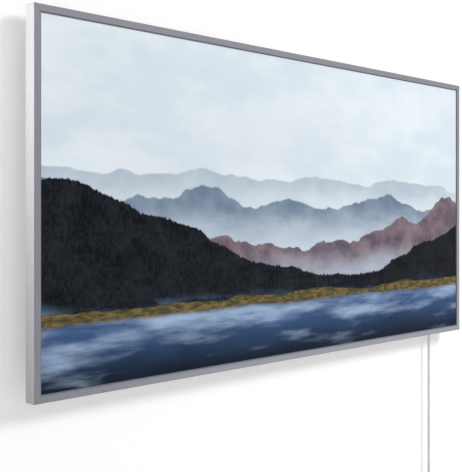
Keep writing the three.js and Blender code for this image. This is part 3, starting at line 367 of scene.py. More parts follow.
def drawn_out(piece, length):
    """Makes a round piece long: all that lies to the right of its middle moves to the right."""
    hold(piece)
    bpy.ops.object.mode_set(mode="EDIT")
    bpy.ops.mesh.select_mode(type="VERT")
    bpy.ops.mesh.select_all(action="DESELECT")
    bpy.ops.object.mode_set(mode="OBJECT")
    for vertex in piece.data.vertices:
        vertex.select = vertex.co.x > off_middle
    bpy.ops.object.mode_set(mode="EDIT")
    bpy.ops.transform.translate(value=(length, 0, 0))
    bpy.ops.object.mode_set(mode="OBJECT")
    piece.select_set(False)


def strap_rubber(place):
    tone = noise(place, 80, 3)
    return {
        "Base Color": tone.mixed(tint(200, 200, 201), tint(214, 214, 215)),
        "Roughness": 0.6 + 0.15 * tone,
        "Normal": bumped(noise(place, 1200), 0.15, 0.0002),
    }


strap = soft_copy("cord_tie", 0.35 * mm, 40)
strap_middle = coil_inner + coil_pitch * coil_turns / 4
outwards = Vector((math.cos(strap_angle), 0, math.sin(strap_angle)))
tongue_place = coil_centre + (strap_middle - tongue_length / 3) * outwards
tongue_place.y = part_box("cord_tie")[0].y + overlap
along_strap = Matrix.Rotation(-strap_angle, 4, "Y") @ Matrix.Rotation(math.radians(90), 4, "X")

tongue = drawn_round(
    "tongue",
    [
        (tongue_width / 2, 0),
        (tongue_width / 2, overlap + tongue_sheet - 0.3 * mm),
        (tongue_width / 2 - 0.1 * mm, overlap + tongue_sheet - 0.1 * mm),
        (tongue_width / 2 - 0.3 * mm, overlap + tongue_sheet),
    ],
)
drawn_out(tongue, tongue_length)
button = drawn_round(
    "button",
    [
        (button_radius - 0.5 * mm, tongue_sheet / 2),
        (button_radius - 0.5 * mm, tongue_sheet + 0.3 * mm),
        (button_radius, tongue_sheet + 0.5 * mm),
        (button_radius, tongue_sheet + button_height - 0.3 * mm),
        (button_radius - 0.3 * mm, tongue_sheet + button_height),
        (button_radius - 1.2 * mm, tongue_sheet + button_height + 0.15 * mm),
    ],
)
combined(tongue, button, "UNION")
tongue.data.transform(Matrix.Translation(tongue_place) @ along_strap)
combined(strap, tongue, "UNION")
strap_white = finish_named("strap_rubber", {"Specular IOR Level": 0.3}, strap_rubber)
dressed(strap, strap_white)

# ------------------------------------------------------------------ plug
# A mains plug moulded onto the cord, in its colour: a ribbed neck, a waisted grip with ribs for
# finger and thumb, two round nickel-plated pins, and a spring contact in a groove on each side.
plug_low, plug_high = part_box("plug_body")
plug_length = plug_high.z - plug_low.z
face_radius = (plug_high.x - plug_low.x) / 2
pin_hole = 5.4 * mm
pin_hole_depth = 7.3 * mm
pin_spacing = 19 * mm
earth_groove = 7 * mm
earth_groove_depth = 3 * mm
earth_groove_top = 34 * mm  # below the plug's top, as the heights in its profile
grip_flat = 12.9 * mm  # from the plug's axis
grip_cut = 4 * mm
grip_top = 18.4 * mm
grip_height = 10.4 * mm
grip_ribs = 4
rib_gap = 0.45  # of the pitch of the ribs
rib_relief = 0.7 * mm
beyond = 1 * mm  # how far a cutter reaches out of what it cuts
# radius and depth below the top, in mm: the neck with its two grooves, the grip, and the face
plug_profile = (
    (3.6, 0), (4.5, 0.2), (4.9, 0.8), (4.9, 2.2), (4.2, 2.6), (4.2, 3.4), (5.0, 3.8), (5.1, 5.0),
    (4.4, 5.4), (4.4, 6.2), (5.3, 6.6), (5.5, 7.9), (5.8, 9.0), (6.8, 11.0), (8.7, 13.3),
    (10.7, 15.3), (12.4, 17.3), (13.5, 19.3), (14.2, 21.6), (14.5, 24.0), (14.4, 27.0),
    (14.1, 29.4), (14.2, 31.2), (14.9, 32.8), (16.2, 34.0), (17.6, 34.7), (18.3, 35.4),
    (18.5, 36.4), (18.5, 50.8), (18.3, 51.6), (17.8, 52.0),
)


def bar(name, size, middle):
    """A square bar, to cut with."""
    bpy.ops.object.select_all(action="DESELECT")
    bpy.ops.mesh.primitive_cube_add(size=1, location=middle, scale=size)
    piece = bpy.context.object
    piece.name = name
    bpy.ops.object.transform_apply(location=True, rotation=True, scale=True)
    return piece


def moulded_plug():
    """The plug's body, with its top at the origin."""
    body = drawn_round("plug", [(radius * mm, -depth * mm) for radius, depth in plug_profile], 64)
    groove_size = (earth_groove, 2 * earth_groove_depth, plug_length - earth_groove_top + beyond)
    grip_size = (grip_cut, 2 * face_radius, grip_height)
    rib_pitch = grip_height / grip_ribs
    gap_size = (2 * rib_relief, 2 * face_radius, rib_pitch * rib_gap)
    hole_ends = (-plug_length - beyond, pin_hole_depth - plug_length)
    hole_steps = [(pin_hole / 2, height) for height in hole_ends]
    for side in (-1, 1):
        groove_middle = (0, side * face_radius, -(plug_length + earth_groove_top + beyond) / 2)
        combined(body, bar("groove", groove_size, groove_middle), "DIFFERENCE")
        hole = drawn_round("hole", hole_steps)
        hole.data.transform(Matrix.Translation((side * pin_spacing / 2, 0, 0)))
        combined(body, hole, "DIFFERENCE")
        grip_middle = (side * (grip_flat + grip_cut / 2), 0, -grip_top - grip_height / 2)
        combined(body, bar("grip", grip_size, grip_middle), "DIFFERENCE")
        for rib in range(grip_ribs):
            gap_middle = (side * grip_flat, 0, -grip_top - (rib + 0.5) * rib_pitch)
            combined(body, bar("between_ribs", gap_size, gap_middle), "DIFFERENCE")
    return body


def plug_moulding(place):
    tone = noise(place, 40, 3)
    return {
        "Base Color": tone.mixed(tint(214, 211, 212), tint(226, 223, 224)),
        "Roughness": 0.38 + 0.14 * tone,
        "Normal": bumped(noise(place, 1100, 2), 0.12, 0.0002),
    }


def nickel_plate(place):
    skin = noise(place, 300, 3)
    return {
        "Base Color": skin.mixed(tint(206, 200, 188), tint(226, 221, 211)),
        "Roughness": 0.16 + 0.12 * skin,
        "Normal": bumped(skin, 0.05, 0.0001),
    }


plug_finish = finish_named("plug_moulding", {"Specular IOR Level": 0.5}, plug_moulding)
nickel = finish_named("nickel_plate", {"Metallic": 1.0}, nickel_plate)
plug = moulded_plug()
plug_top = (plug_low + plug_high) / 2 + Vector((0, 0, plug_length / 2))
plug.data.transform(Matrix.Translation(plug_top))
dressed(fitted(plug, "plug_body"), plug_finish)
for node in ("plug_pin_left", "plug_pin_right", "plug_earth_front", "plug_earth_rear"):
    dressed(frame["nodes"][node], nickel)

# ------------------------------------------------------------------ frame
# A slim aluminium extrusion, clear anodised to a satin silver, cut at 45 degrees and closed over
# hidden keys. The die leaves a fine grain along each member. The front lip is painted a darker,
# bluer grey than the sides: painted shade, for the sides stand in more light than the lip.
frame_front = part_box("frame_top")[0].y
lip_depth = 0.8 * mm


def axis_of(place, number):
    """One share of a place: 0 is to the right, 1 towards the wall and 2 up."""
    return Value.node("ShaderNodeSeparateXYZ", output=number, Vector=place)


def anodised(along):
    """Satin anodised aluminium with its grain along one axis, its front lip painted darker as
    shade.
    """
    stretch = tuple(0.02 if number == along else 1 for number in range(3))

    def build(place):
        grain = noise(place, 1400, 3, 0.6, stretch)
        bloom = noise(place, 5, 3)
        on_lip = 1 - axis_of(place, 1).above(frame_front, frame_front + lip_depth)
        # Painted shade: the lip tone is darker and bluer than the side tone, as the sides catch
        # more light.
        lit_side_tone = grain.above(0.3, 0.7).mixed(tint(163, 161, 164), tint(170, 168, 171))
        shaded_lip_tone = grain.above(0.3, 0.7).mixed(tint(153, 154, 162), tint(161, 163, 171))
        return {
            "Base Color": on_lip.mixed(lit_side_tone, shaded_lip_tone),
            "Metallic": on_lip * 0.55 + 0.35,
            "Roughness": 0.24 + 0.06 * grain + 0.04 * bloom,
            "Normal": bumped(grain, 0.03, 0.0001),
        }

    return finish_named(f"anodised_{'xyz'[along]}", {}, build)


level_silver = anodised(0)
upright_silver = anodised(2)
for node, silver in (
    ("frame_top", level_silver),
    ("frame_bottom", level_silver),
    ("frame_left", upright_silver),
    ("frame_right", upright_silver),
):
    dressed(soft_copy(node, 0.25 * mm), silver)


# ------------------------------------------------------------------ corner keys
# Die-cast aluminium, with the fine orange-peel skin of a casting. They are driven into the
# members' hollows and hold by their teeth.
def casting(place):
    skin = noise(place, 700, 3)
    return {
        "Base Color": skin.mixed(tint(168, 169, 170), tint(205, 206, 207)),
        "Roughness": 0.45 + 0.2 * skin,
        "Normal": bumped(skin, 0.4, 0.0003),
    }


cast_key = finish_named("die_casting", {"Metallic": 0.85}, casting)
for corner in ("top_left", "top_right", "bottom_left", "bottom_right"):
    dressed(frame["nodes"]["corner_key_" + corner], cast_key)


# ------------------------------------------------------------------ face seal
# A flat ring of grey silicone foam between the frame's lip and the front sheet. It stops rattle
# and keeps the hot sheet off the metal. Its inner edge shows as a thin grey line beside the lip,
# which is partly painted shade: the line stands for the shade in the gap under the lip as well.
def foam_rubber(place):
    cells = noise(place, 1600, 2)
    return {
        # The grey is partly painted shade: it also stands for the shade in the gap under the lip.
        "Base Color": cells.mixed(tint(118, 117, 124), tint(136, 135, 142)),
        "Roughness": 0.8 + 0.15 * cells,
        "Normal": bumped(cells, 0.5, 0.0003),
    }


seal_grey_and_gap_shade = finish_named("silicone_foam", {"Specular IOR Level": 0.25}, foam_rubber)
dressed(frame["nodes"]["face_seal"], seal_grey_and_gap_shade)

# ------------------------------------------------------------------ printed front
# A coated aluminium sheet with a generic landscape printed on it: ranges of hills, one behind the
# other, that fade into mist, and a meadow and a dim valley before them. The print is matt.
face_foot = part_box("front_panel")[0].z


def along_noise(along, scale, detail=4, roughness=0.5):
    """Noise that changes along the sheet only."""
    one_way = {"noise_dimensions": "1D"}
    grain = {"Scale": scale, "Detail": detail, "Roughness": roughness}
    return Value.node("ShaderNodeTexNoise", one_way, W=along, **grain)


def ridge_line(along, seed, base, swell, scale):
    """The height of a range along the print: its base, how far it swells to both sides of that,
    and about how many swells there are in a metre. The seed gives each range its own."""
    return (along_noise(along + seed, scale) - 0.5) * (2 * swell) + base


def hills_in_mist(place):
    along = axis_of(place, 0)
    height = axis_of(place, 2) - face_foot
    to_left = (0 - along).above(-0.1, 0.62)
    to_right = along.above(0.1, 0.66)
    drift = (noise(place, 8, 5, 0.55, (1, 1, 2.5)) - 0.5) * (70 * mm)  # of the mist's height
    woods = noise(place, 150, 5, 0.7, (1, 1, 0.6))
    folds = noise(place, 19, 4, 0.6)
    tree_tops = (along_noise(along, 170, 2, 0.7) - 0.5) * (11 * mm)

    def under(line, edge):
        """1 below a line across the print and 0 above it, with an edge that soft."""
        return 1 - height.above(line - edge, line + edge)

    def hills(behind, ridge, dark, light, mist, foot, fade, wooded, edge):
        """A range of hills in front of what is behind it. Its foot is lost in the mist."""
        top = tree_tops * wooded + ridge
        lit = (folds * (1 - 0.6 * wooded) + woods * (0.6 * wooded)).above(0.36, 0.66)
        in_mist = 1 - (height + drift).above(foot, foot + fade)
        range_colour = in_mist.mixed(lit.mixed(dark, light), mist)
        return under(top, edge).mixed(behind, range_colour)

    cloud = noise(place, 4.2, 6, 0.55, (1, 1, 2.4)).above(0.36, 0.66)
    veil = noise(place, 2.3, 3, 0.5, (1, 1, 2)).above(0.45, 0.7)
    sky = cloud.mixed(tint(213, 227, 235), tint(233, 241, 247))
    view = (veil * 0.6).mixed(sky, tint(222, 226, 236))

    far_ridge = ridge_line(along, 3.1, 0.35, 0.045, 3.4)
    far_tones = tint(172, 189, 203), tint(184, 199, 211), tint(220, 229, 236)
    view = hills(view, far_ridge, *far_tones, foot=0.27, fade=0.1, wooded=0, edge=2.5 * mm)
    blue_ridge = ridge_line(along, 11.7, 0.3, 0.06, 4.3) + to_left * 0.03
    blue_tones = tint(112, 130, 152), tint(134, 150, 170), tint(203, 215, 226)
    view = hills(view, blue_ridge, *blue_tones, foot=0.205, fade=0.1, wooded=0.3, edge=1.8 * mm)
    rose_ridge = ridge_line(along, 23.4, 0.225, 0.055, 4.9) + to_right * 0.09
    rose_tones = tint(92, 82, 96), tint(140, 122, 128), tint(184, 192, 208)
    view = hills(view, rose_ridge, *rose_tones, foot=0.135, fade=0.085, wooded=0.45, edge=1.4 * mm)
    left_ridge = ridge_line(along, 37.9, 0.155, 0.035, 4.1) + to_left * 0.18
    left_tones = tint(9, 12, 18), tint(38, 43, 49), tint(110, 136, 170)
    view = hills(view, left_ridge, *left_tones, foot=0.085, fade=0.06, wooded=1, edge=1 * mm)
    right_ridge = ridge_line(along, 52.2, 0.13, 0.03, 5.3) + to_right * 0.13
    right_tones = tint(8, 10, 16), tint(33, 38, 45), tint(104, 128, 162)
    view = hills(view, right_ridge, *right_tones, foot=0.08, fade=0.055, wooded=1, edge=1 * mm)

    meadow_top = ridge_line(along, 61.5, 0.127, 0.013, 6.1)
    meadow_foot = ridge_line(along, 67.2, 0.106, 0.014, 7.7)
    foot_edge = 5 * mm
    above_foot = height.above(meadow_foot - foot_edge, meadow_foot + foot_edge)
    on_meadow = under(meadow_top, 1.5 * mm) * above_foot
    tufts = noise(place, 40, 5, 0.7, (1, 1, 4)).above(0.4, 0.66)
    view = on_meadow.mixed(view, tufts.mixed(tint(66, 70, 46), tint(134, 112, 70)))

    valley_top = ridge_line(along, 81.3, 0.108, 0.01, 3.7)
    in_valley = under(valley_top, 6 * mm)
    streams = (noise(place, 4.6, 5, 0.55, (1, 1, 6)) + height * 2.6).above(0.6, 0.92)
    dusk = (height + drift * 0.6).above(0, 0.11).mixed(tint(20, 30, 45), tint(62, 90, 132))
    view = in_valley.mixed(view, streams.mixed(dusk, tint(160, 183, 212)))
    orange_peel = noise(place, 500, 2)
    return {
        "Base Color": view,
        "Roughness": 0.5 + 0.1 * orange_peel,
        "Normal": bumped(orange_peel, 0.05, 0.0002),
    }


matt_print = finish_named("matt_print", {"Specular IOR Level": 0.06}, hills_in_mist)
dressed(frame["nodes"]["front_panel"], matt_print)


# ------------------------------------------------------------------ heating laminate and busbars
# A brown glass-fibre laminate with dark carbon printed on its back. The carbon carries the
# current between two busbars of rolled copper, which run along the upper and the lower edge.
laminate_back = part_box("heating_laminate")[1].y
carbon_depth = 0.15 * mm
carbon_solid = 0.05 * mm


def carbon_on_laminate(place):
    weave = noise(place, 900, 2)
    on_back = axis_of(place, 1).above(laminate_back - carbon_depth, laminate_back - carbon_solid)
    board = weave.mixed(tint(112, 88, 52), tint(142, 116, 74))
    carbon = weave.mixed(tint(26, 26, 28), tint(44, 44, 47))
    return {
        "Base Color": on_back.mixed(board, carbon),
        "Roughness": 0.5 + 0.2 * weave,
        "Normal": bumped(weave, 0.2, 0.0002),
    }


def rolled_copper(place):
    grain = noise(place, 900, 3, 0.6, (0.03, 1, 1))
    return {
        "Base Color": grain.mixed(tint(184, 112, 70), tint(216, 146, 102)),
        "Roughness": 0.28 + 0.14 * grain,
        "Normal": bumped(grain, 0.1, 0.0001),
    }


laminate_finish = finish_named("carbon_on_laminate", {}, carbon_on_laminate)
copper_finish = finish_named("rolled_copper", {"Metallic": 1.0}, rolled_copper)
dressed(frame["nodes"]["heating_laminate"], laminate_finish)
for node in ("busbar_top", "busbar_bottom"):
    dressed(frame["nodes"][node], copper_finish)


# ------------------------------------------------------------------ foil, insulation and cut-out
# Crinkled aluminium foil throws the heat forward, a mineral wool board keeps it off the back,
# and a bimetal cut-out in a pressed can lies against the laminate.
def crinkled_foil(place):
    crease = noise(place, 55, 5, 0.65)
    return {
        "Base Color": crease.mixed(tint(206, 208, 210), tint(236, 238, 240)),
        "Roughness": 0.16 + 0.16 * crease,
        "Normal": bumped(crease, 0.5, 0.002),
    }


def mineral_wool(place):
    fibre = noise(place, 500, 5, 0.7, (1, 1, 0.2))
    return {
        "Base Color": fibre.above(0.3, 0.7).mixed(tint(190, 180, 150), tint(228, 221, 202)),
        "Roughness": 0.9 + 0.08 * fibre,
        "Normal": bumped(fibre, 0.8, 0.001),
    }


def pressed_can(place):
    skin = noise(place, 900, 3)
    return {
        "Base Color": skin.mixed(tint(178, 178, 174), tint(208, 208, 203)),
        "Roughness": 0.3 + 0.15 * skin,
        "Normal": bumped(skin, 0.15, 0.0001),
    }


foil_finish = finish_named("crinkled_foil", {"Metallic": 1.0}, crinkled_foil)
wool_finish = finish_named("mineral_wool", {"Specular IOR Level": 0.1}, mineral_wool)
can_finish = finish_named("pressed_can", {"Metallic": 0.9}, pressed_can)
dressed(frame["nodes"]["reflector_foil"], foil_finish)
dressed(frame["nodes"]["insulation_board"], wool_finish)
dressed(frame["nodes"]["thermal_cutout"], can_finish)


# ------------------------------------------------------------------ rear panel
# Zinc-coated sheet steel, 1 mm thick, with four pressed beads that keep it flat. The zinc shows
# a faint spangle.
def zinc_sheet(place):
    spangle = Value.node("ShaderNodeTexVoronoi", output="Color", Vector=place, Scale=110)
    flake = Value.node("ShaderNodeSeparateColor", Color=spangle)
    smear = noise(place, 9, 4, 0.6, (1, 1, 0.3))
    tone = flake * 0.5 + smear * 0.5
    return {
        "Base Color": tone.mixed(tint(184, 187, 190), tint(216, 218, 220)),
        "Roughness": 0.36 + 0.16 * tone,
        "Normal": bumped(tone, 0.08, 0.0002),
    }


zinc = finish_named("zinc_sheet", {"Metallic": 0.7}, zinc_sheet)
dressed(soft_copy("rear_panel", 0.5 * mm, 15), zinc)

# ------------------------------------------------------------------ screws
# Zinc-plated pan-head screws with a cross recess. Eight hold the rear panel, two the lid and one
# the earth lug.
screw_head = 5.8 * mm
lid_screw_head = 5 * mm
screw_shank = 2.6 * mm
screw_head_height = 1.9 * mm
recess_width = 1.1 * mm
recess_depth = 1.2 * mm
recess_reach = 0.55  # of the head
recess_lift = 0.3 * mm  # how far its cutters stand out of the head
screw_spins = 23, 37  # the first screw's turn and how much more each next one has, in degrees


def pan_screw(head, length):
    """A screw that stands on its point, with the underside of its head at the origin."""
    half = head / 2
    steps = [
        (screw_shank / 2 - 0.6 * mm, -length),
        (screw_shank / 2, 1.6 * mm - length),
        (screw_shank / 2, 0),
        (half - 0.1 * mm, 0),
        (half, 0.15 * mm),
        (half, screw_head_height * 0.4),
        (half * 0.96, screw_head_height * 0.62),
        (half * 0.84, screw_head_height * 0.84),
        (half * 0.6, screw_head_height * 0.97),
        (half * 0.3, screw_head_height),
    ]
    screw = drawn_round("pattern", steps)
    middle = (0, 0, screw_head_height - recess_depth / 2 + recess_lift)
    reach = head * recess_reach
    deep_cut = (reach, recess_width, recess_depth + 2 * recess_lift)
    shallow_cut = (recess_width, reach, recess_depth)
    for size in (deep_cut, shallow_cut):
        combined(screw, bar("recess", size, middle), "DIFFERENCE")
    return screw


def set_in(pattern, node, depth, material, spin=0):
    """A copy of an upright pattern that stands for a node: spun on its axis, laid towards the
    wall, and put on the node's axis with its origin at a depth."""
    low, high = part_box(node)
    place = Vector(((low.x + high.x) / 2, depth, (low.z + high.z) / 2))
    spun = Matrix.Rotation(math.radians(spin), 4, "Z")
    laid = Matrix.Rotation(math.radians(-90), 4, "X")
    piece = bpy.data.objects.new(node + "_finished", pattern.data.copy())
    scene.collection.objects.link(piece)
    piece.data.transform(Matrix.Translation(place) @ laid @ spun)
    dressed(fitted(piece, node), material)


def plated_steel(place):
    skin = noise(place, 500, 3)
    return {
        "Base Color": skin.mixed(tint(196, 198, 200), tint(222, 224, 226)),
        "Roughness": 0.24 + 0.16 * skin,
        "Normal": bumped(skin, 0.08, 0.0001),
    }


plated = finish_named("plated_steel", {"Metallic": 0.95}, plated_steel)
screw_sets = (
    ([f"rear_screw_{number}" for number in range(1, 9)], screw_head),
    (["lid_screw_1", "lid_screw_2"], lid_screw_head),
    (["earth_screw"], screw_head),
)
for nodes, head in screw_sets:
    low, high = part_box(nodes[0])
    pattern = pan_screw(head, high.y - low.y - screw_head_height)
    for number, node in enumerate(nodes):
        under_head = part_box(node)[1].y - screw_head_height
        spin = screw_spins[0] + screw_spins[1] * number
        set_in(pattern, node, under_head, plated, spin)
    bpy.data.objects.remove(pattern)


# ------------------------------------------------------------------ wall rail
# A strip of 2 mm zinc-coated steel, folded into a flange on the wall, a web and a standing lip,
# with round holes and adjusting slots for the wall screws.
def brushed_zinc(place):
    grain = noise(place, 700, 4, 0.6, (0.05, 1, 1))
    cloudy = noise(place, 30, 3)
    return {
        "Base Color": (grain * 0.6 + cloudy * 0.4).mixed(tint(168, 171, 175), tint(198, 201, 205)),
        "Roughness": 0.34 + 0.14 * cloudy,
        "Normal": bumped(grain, 0.1, 0.0001),
    }


rail_zinc = finish_named("brushed_zinc", {"Metallic": 0.85}, brushed_zinc)
dressed(soft_copy("wall_rail", 0.3 * mm), rail_zinc)

# ------------------------------------------------------------------ hangers and rivets
# Folded steel hooks that reach over the rail's lip, each held to the rear panel by two blind
# rivets with a domed head and the stub of the mandrel in it.
for node in ("hanger_left", "hanger_right"):
    dressed(soft_copy(node, 0.3 * mm), rail_zinc)

rivet_body = 4 * mm
rivet_head = 7.6 * mm
rivet_dome = 1.3 * mm
low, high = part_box("hanger_rivet_1")
rivet_tail = rivet_dome - (high.y - low.y)
rivet_steps = [
    (rivet_body / 2 + 0.2 * mm, rivet_tail),
    (rivet_body / 2 + 0.7 * mm, rivet_tail + 0.6 * mm),
    (rivet_body / 2 + 0.7 * mm, rivet_tail + 1.4 * mm),
    (rivet_body / 2, rivet_tail + 1.6 * mm),
    (rivet_body / 2, 0.15 * mm),
    (rivet_head / 2, 0.15 * mm),
    (rivet_head / 2, 0.3 * mm),
    (rivet_head / 2 - 0.5 * mm, 0.8 * mm),
    (rivet_head / 2 - 1.3 * mm, rivet_dome - 0.08 * mm),
    (rivet_body / 2 - 0.4 * mm, rivet_dome),
    (rivet_body / 2 - 0.6 * mm, rivet_dome * 0.6),
    (rivet_body / 2 - 0.9 * mm, rivet_dome * 0.6),
    (rivet_body / 2 - 1.0 * mm, rivet_dome * 0.75),
]
pattern = drawn_round("pattern", rivet_steps)
for number in range(1, 5):
    node = f"hanger_rivet_{number}"
    set_in(pattern, node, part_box(node)[1].y - rivet_dome, plated)
bpy.data.objects.remove(pattern)


# ------------------------------------------------------------------ buffers
# White nylon stems screwed into the rear panel, each with a soft grey rubber pad that rests on
# the wall and keeps the lower edge parallel to it.
def white_nylon(place):
    tone = noise(place, 40, 3)
    return {
        "Base Color": tone.mixed(tint(234, 234, 231), tint(243, 243, 240)),
        "Roughness": 0.42 + 0.12 * tone,
        "Normal": bumped(noise(place, 900, 2), 0.12, 0.0002),
    }


def grey_rubber(place):
    tone = noise(place, 300, 3)
    return {
        "Base Color": tone.mixed(tint(84, 85, 88), tint(104, 105, 108)),
        "Roughness": 0.75 + 0.15 * tone,
        "Normal": bumped(tone, 0.3, 0.0002),
    }


nylon = finish_named("white_nylon", {"Specular IOR Level": 0.5}, white_nylon)
pad_grey = finish_named("grey_rubber", {"Specular IOR Level": 0.3}, grey_rubber)
stem_flange = 11 * mm  # these three are radii
stem_body = 7.5 * mm
stud = 2.8 * mm
stud_length = 4 * mm
low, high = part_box("buffer_stem_left")
stem_length = high.y - low.y - stud_length
stem = drawn_round(
    "stem",
    [
        (stud - 0.3 * mm, -stud_length),
        (stud, -stud_length + 0.3 * mm),
        (stud, 0),
        (stem_flange - 0.2 * mm, 0),
        (stem_flange, 0.2 * mm),
        (stem_flange, 2.2 * mm),
        (stem_flange - 0.3 * mm, 2.7 * mm),
        (stem_flange - 1 * mm, 3 * mm),
        (stem_body + 1.5 * mm, 3 * mm),
        (stem_body + 0.5 * mm, 3.5 * mm),
        (stem_body, 4.5 * mm),
        (stem_body, stem_length - 3 * mm),
        (stem_body + 0.5 * mm, stem_length - 2 * mm),
        (stem_body + 1.5 * mm, stem_length - 1.5 * mm),
        (stem_body + 1.5 * mm, stem_length),
    ],
    56,
)
low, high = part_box("buffer_pad_left")
pad_radius = (high.x - low.x) / 2
pad_thickness = high.y - low.y
pad_groove = 0.4 * mm
pad = drawn_round(
    "pad",
    [
        (pad_radius - 0.3 * mm, 0),
        (pad_radius, 0.3 * mm),
        (pad_radius, pad_thickness - 0.8 * mm),
        (pad_radius - 0.25 * mm, pad_thickness - 0.25 * mm),
        (pad_radius - 0.8 * mm, pad_thickness),
        (pad_radius - 2.4 * mm, pad_thickness),
        (pad_radius - 2.6 * mm, pad_thickness - pad_groove),
        (pad_radius - 3.6 * mm, pad_thickness - pad_groove),
        (pad_radius - 3.8 * mm, pad_thickness),
    ],
    56,
)
for side in ("left", "right"):
    on_rear_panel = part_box("buffer_stem_" + side)[0].y + stud_length
    set_in(stem, "buffer_stem_" + side, on_rear_panel, nylon)
    set_in(pad, "buffer_pad_" + side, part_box("buffer_pad_" + side)[0].y, pad_grey)
bpy.data.objects.remove(stem)
bpy.data.objects.remove(pad)


# ------------------------------------------------------------------ terminal box and lid
# A moulded tray of white flame-retardant plastic that snaps into the rear panel, with a screwed
# lid. Both have a fine spark-eroded texture.
def moulded_white(place):
    tone = noise(place, 25, 3)
    texture = noise(place, 1500, 2, 0.6)
    return {
        "Base Color": tone.mixed(tint(229, 229, 226), tint(239, 239, 236)),
        "Roughness": 0.5 + 0.12 * texture,
        "Normal": bumped(texture, 0.25, 0.0002),
    }


moulding = finish_named("moulded_white", {"Specular IOR Level": 0.45}, moulded_white)
for node in ("terminal_box", "terminal_box_lid"):
    dressed(soft_copy(node, 0.35 * mm), moulding)

# ------------------------------------------------------------------ gland and bend sleeve
# A nylon gland holds the cord in the box: a body with a hexagon, a locknut inside and a domed
# cap. Below it a soft grooved sleeve tapers down to the cord, so that it can't kink.
for node in ("gland_body", "gland_locknut", "gland_cap"):
    dressed(soft_copy(node, 0.3 * mm, 35), nylon)

sleeve_low, sleeve_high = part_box("cord_bend_sleeve")
sleeve_inner = 3.7 * mm  # these three are radii
sleeve_root = 4.9 * mm
sleeve_end = 3.9 * mm
sleeve_collar = 4 * mm
sleeve_grooves = 5
groove_depth = 0.8 * mm
groove_edge = 0.15 * mm
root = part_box("gland_cap")[0].z - touch
pitch = (root - sleeve_low.z - 2 * sleeve_collar) / sleeve_grooves
sleeve_steps = [
    (sleeve_inner, sleeve_high.z),
    (sleeve_inner, root),
    (sleeve_root - 0.3 * mm, root),
    (sleeve_root, root - 0.3 * mm),
    (sleeve_root, root - sleeve_collar),
]
for groove in range(sleeve_grooves):
    start = root - sleeve_collar - groove * pitch
    radius = sleeve_root + (sleeve_end - sleeve_root) * (groove + 1) / sleeve_grooves
    sleeve_steps += [
        (radius - groove_depth, start - 0.4 * mm),
        (radius - groove_depth, start - pitch * 0.4),
        (radius - groove_edge, start - pitch * 0.5),
        (radius, start - pitch * 0.58),
        (radius, start - pitch * 0.94),
        (radius - groove_edge, start - pitch),
    ]
sleeve_steps += [(sleeve_end, sleeve_low.z + 0.4 * mm), (sleeve_end - 0.3 * mm, sleeve_low.z)]
sleeve = drawn_round("cord_bend_sleeve_finished", sleeve_steps)
sleeve_x = (sleeve_low.x + sleeve_high.x) / 2
sleeve_y = (sleeve_low.y + sleeve_high.y) / 2
sleeve.data.transform(Matrix.Translation((sleeve_x, sleeve_y, 0)))
dressed(fitted(sleeve, "cord_bend_sleeve"), cord_sheath)


# ------------------------------------------------------------------ terminal block, lug and leads
# Inside the box: a three-way block, silicone-insulated leads in their usual colours, and a
# nickel-plated ring lug on the earth screw.
def silicone(first, second):
    """Soft insulation between two tones of its colour."""

    def build(place):
        tone = noise(place, 200, 2)
        return {
            "Base Color": tone.mixed(first, second),
            "Roughness": 0.5 + 0.15 * tone,
            "Normal": bumped(tone, 0.1, 0.0001),
        }

    return build


red = finish_named("red_silicone", {}, silicone(tint(158, 52, 40), tint(182, 70, 54)))
blue = finish_named("blue_silicone", {}, silicone(tint(44, 86, 160), tint(60, 104, 178)))
green = finish_named("green_silicone", {}, silicone(tint(96, 146, 40), tint(190, 190, 50)))
for node, material, slot in (
    ("terminal_block", moulding, "white_plastic"),
    ("earth_lug", nickel, "nickel"),
    ("lead_live", red, "red_lead"),
    ("lead_cutout", red, "red_lead"),
    ("lead_neutral", blue, "blue_lead"),
    ("lead_earth", green, "green_lead"),
):
    dressed(frame["nodes"][node], material)


# ------------------------------------------------------------------ stage
# A white wall just behind the heater and a pale floor well below it. Both are seen from one side
# only, so that the heater can also be looked at from behind and from below.
room_half = 6
wall_behind = 0.5 * mm
floor_height = -1.6
wall_white = (0.87, 0.855, 0.868)
wall_glow = 0.22
floor_pale = (0.8, 0.8, 0.79)
floor_glow = 0.5


def ray(kind):
    """What is known of the path of light: 1 where it is of that kind, or its count of that kind."""
    return Value.node("ShaderNodeLightPath", output=kind)


def seen():
    """1 for what the camera sees, straight or in metal or through glass."""
    either = ray("Is Camera Ray").maths("MAXIMUM", ray("Is Glossy Ray"))
    return either.maths("MAXIMUM", ray("Is Transmission Ray"))


def was_behind():
    """1 on a path that has already come through the wall or the floor."""
    return ray("Transparent Depth").maths("GREATER_THAN", 0.5)


def one_sided(name, colour, glow):
    """Matt paint on a sheet that lets all through once it was met from behind."""
    material = bpy.data.materials.new(name)
    material.use_nodes = True
    tree = material.node_tree
    Value.tree = tree
    paint = tree.nodes["Principled BSDF"]
    paint.inputs["Roughness"].default_value = 0.9
    paint.inputs["Specular IOR Level"].default_value = 0.1
    paint.inputs["Emission Strength"].default_value = 1.0
    place = Value.node("ShaderNodeTexCoord", output="Object")
    lighter = [part * 1.01 for part in colour]
    tone = noise(place, 3, 3).mixed(colour, lighter)
    tree.links.new(tone.socket, paint.inputs["Base Color"])
    shine = (seen() * glow).mixed((0, 0, 0), (1, 1, 1))
    tree.links.new(shine.socket, paint.inputs["Emission Color"])
    clear = tree.nodes.new("ShaderNodeBsdfTransparent")
    either = tree.nodes.new("ShaderNodeMixShader")
    from_behind = Value.node("ShaderNodeNewGeometry", output="Backfacing")
    let_through = from_behind.maths("MAXIMUM", was_behind())
    tree.links.new(let_through.socket, either.inputs[0])
    tree.links.new(paint.outputs[0], either.inputs[1])
    tree.links.new(clear.outputs[0], either.inputs[2])
    tree.links.new(either.outputs[0], tree.nodes["Material Output"].inputs["Surface"])
    return material


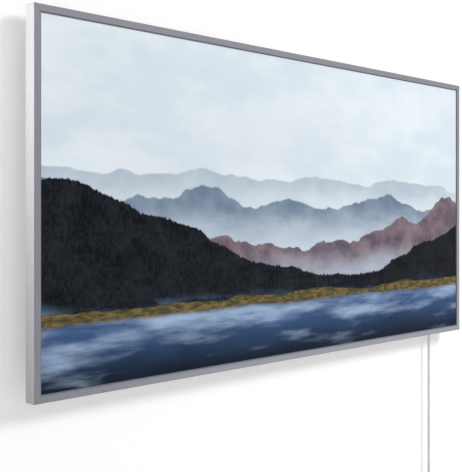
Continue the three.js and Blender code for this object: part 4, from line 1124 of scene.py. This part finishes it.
bpy.ops.object.select_all(action="DESELECT")
upright = (math.radians(90), 0, 0)
bpy.ops.mesh.primitive_plane_add(size=2 * room_half, location=(0, wall_behind, 0), rotation=upright)
wall = bpy.context.object
wall.name = "wall"
wall.data.materials.append(one_sided("wall_paint", wall_white, wall_glow))
bpy.ops.mesh.primitive_plane_add(size=2 * room_half, location=(0, 0, floor_height))
floor = bpy.context.object
floor.name = "floor"
floor.visible_glossy = False  # the lip mirrors the room above it
floor.data.materials.append(one_sided("floor_pale", floor_pale, floor_glow))

room_level = 0.55
rear_level = 0.3  # more, for what is met behind the wall
ceiling_level = 0.3  # more, in metal that mirrors what is overhead
right_level = 0.48  # more, in metal that mirrors what lies low on the right
world = bpy.data.worlds.new("soft_room")
scene.world = world
world.use_nodes = True
Value.tree = world.node_tree
background = world.node_tree.nodes["Background"]
background.inputs["Color"].default_value = (1, 1, 1, 1)
direct = ray("Is Camera Ray").maths("MAXIMUM", ray("Is Transmission Ray"))
toward = Value.node("ShaderNodeTexCoord", output="Generated")
low_right = axis_of(toward, 0).above(0.48, 0.72) * (0 - axis_of(toward, 2)).above(-0.16, 0.06)
overhead = axis_of(toward, 2).above(0, 0.22)
room = room_level + overhead * ceiling_level + low_right * right_level
mirrored = ray("Is Glossy Ray") * room
all_round = was_behind() * rear_level + room_level
strength = direct.maths("MAXIMUM", mirrored).maths("MAXIMUM", all_round)
world.node_tree.links.new(strength.socket, background.inputs["Strength"])


def lamp(name, location, target, size, watts, spread=180):
    """A soft panel of light that looks at its target."""
    data = bpy.data.lights.new(name, "AREA")
    data.shape = "RECTANGLE"
    data.size, data.size_y = size
    data.energy = watts
    data.spread = math.radians(spread)
    item = bpy.data.objects.new(name, data)
    item.location = location
    item.rotation_euler = (Vector(target) - Vector(location)).to_track_quat("-Z", "Y").to_euler()
    item.visible_glossy = False  # metal mirrors the room, and not the lamps
    scene.collection.objects.link(item)


lamp("key_light", (1.8, -3.3, 2.0), (0, 0, -0.2), (1.1, 1.1), 96)
lamp("side_light", (-1.4, -0.022, 0.05), (-0.6, -0.03, 0.02), (0.03, 0.2), 2.8, 80)
lamp("rear_light", (-1.4, 2.6, 1.2), (0, 0, -0.3), (1.6, 1.6), 25)
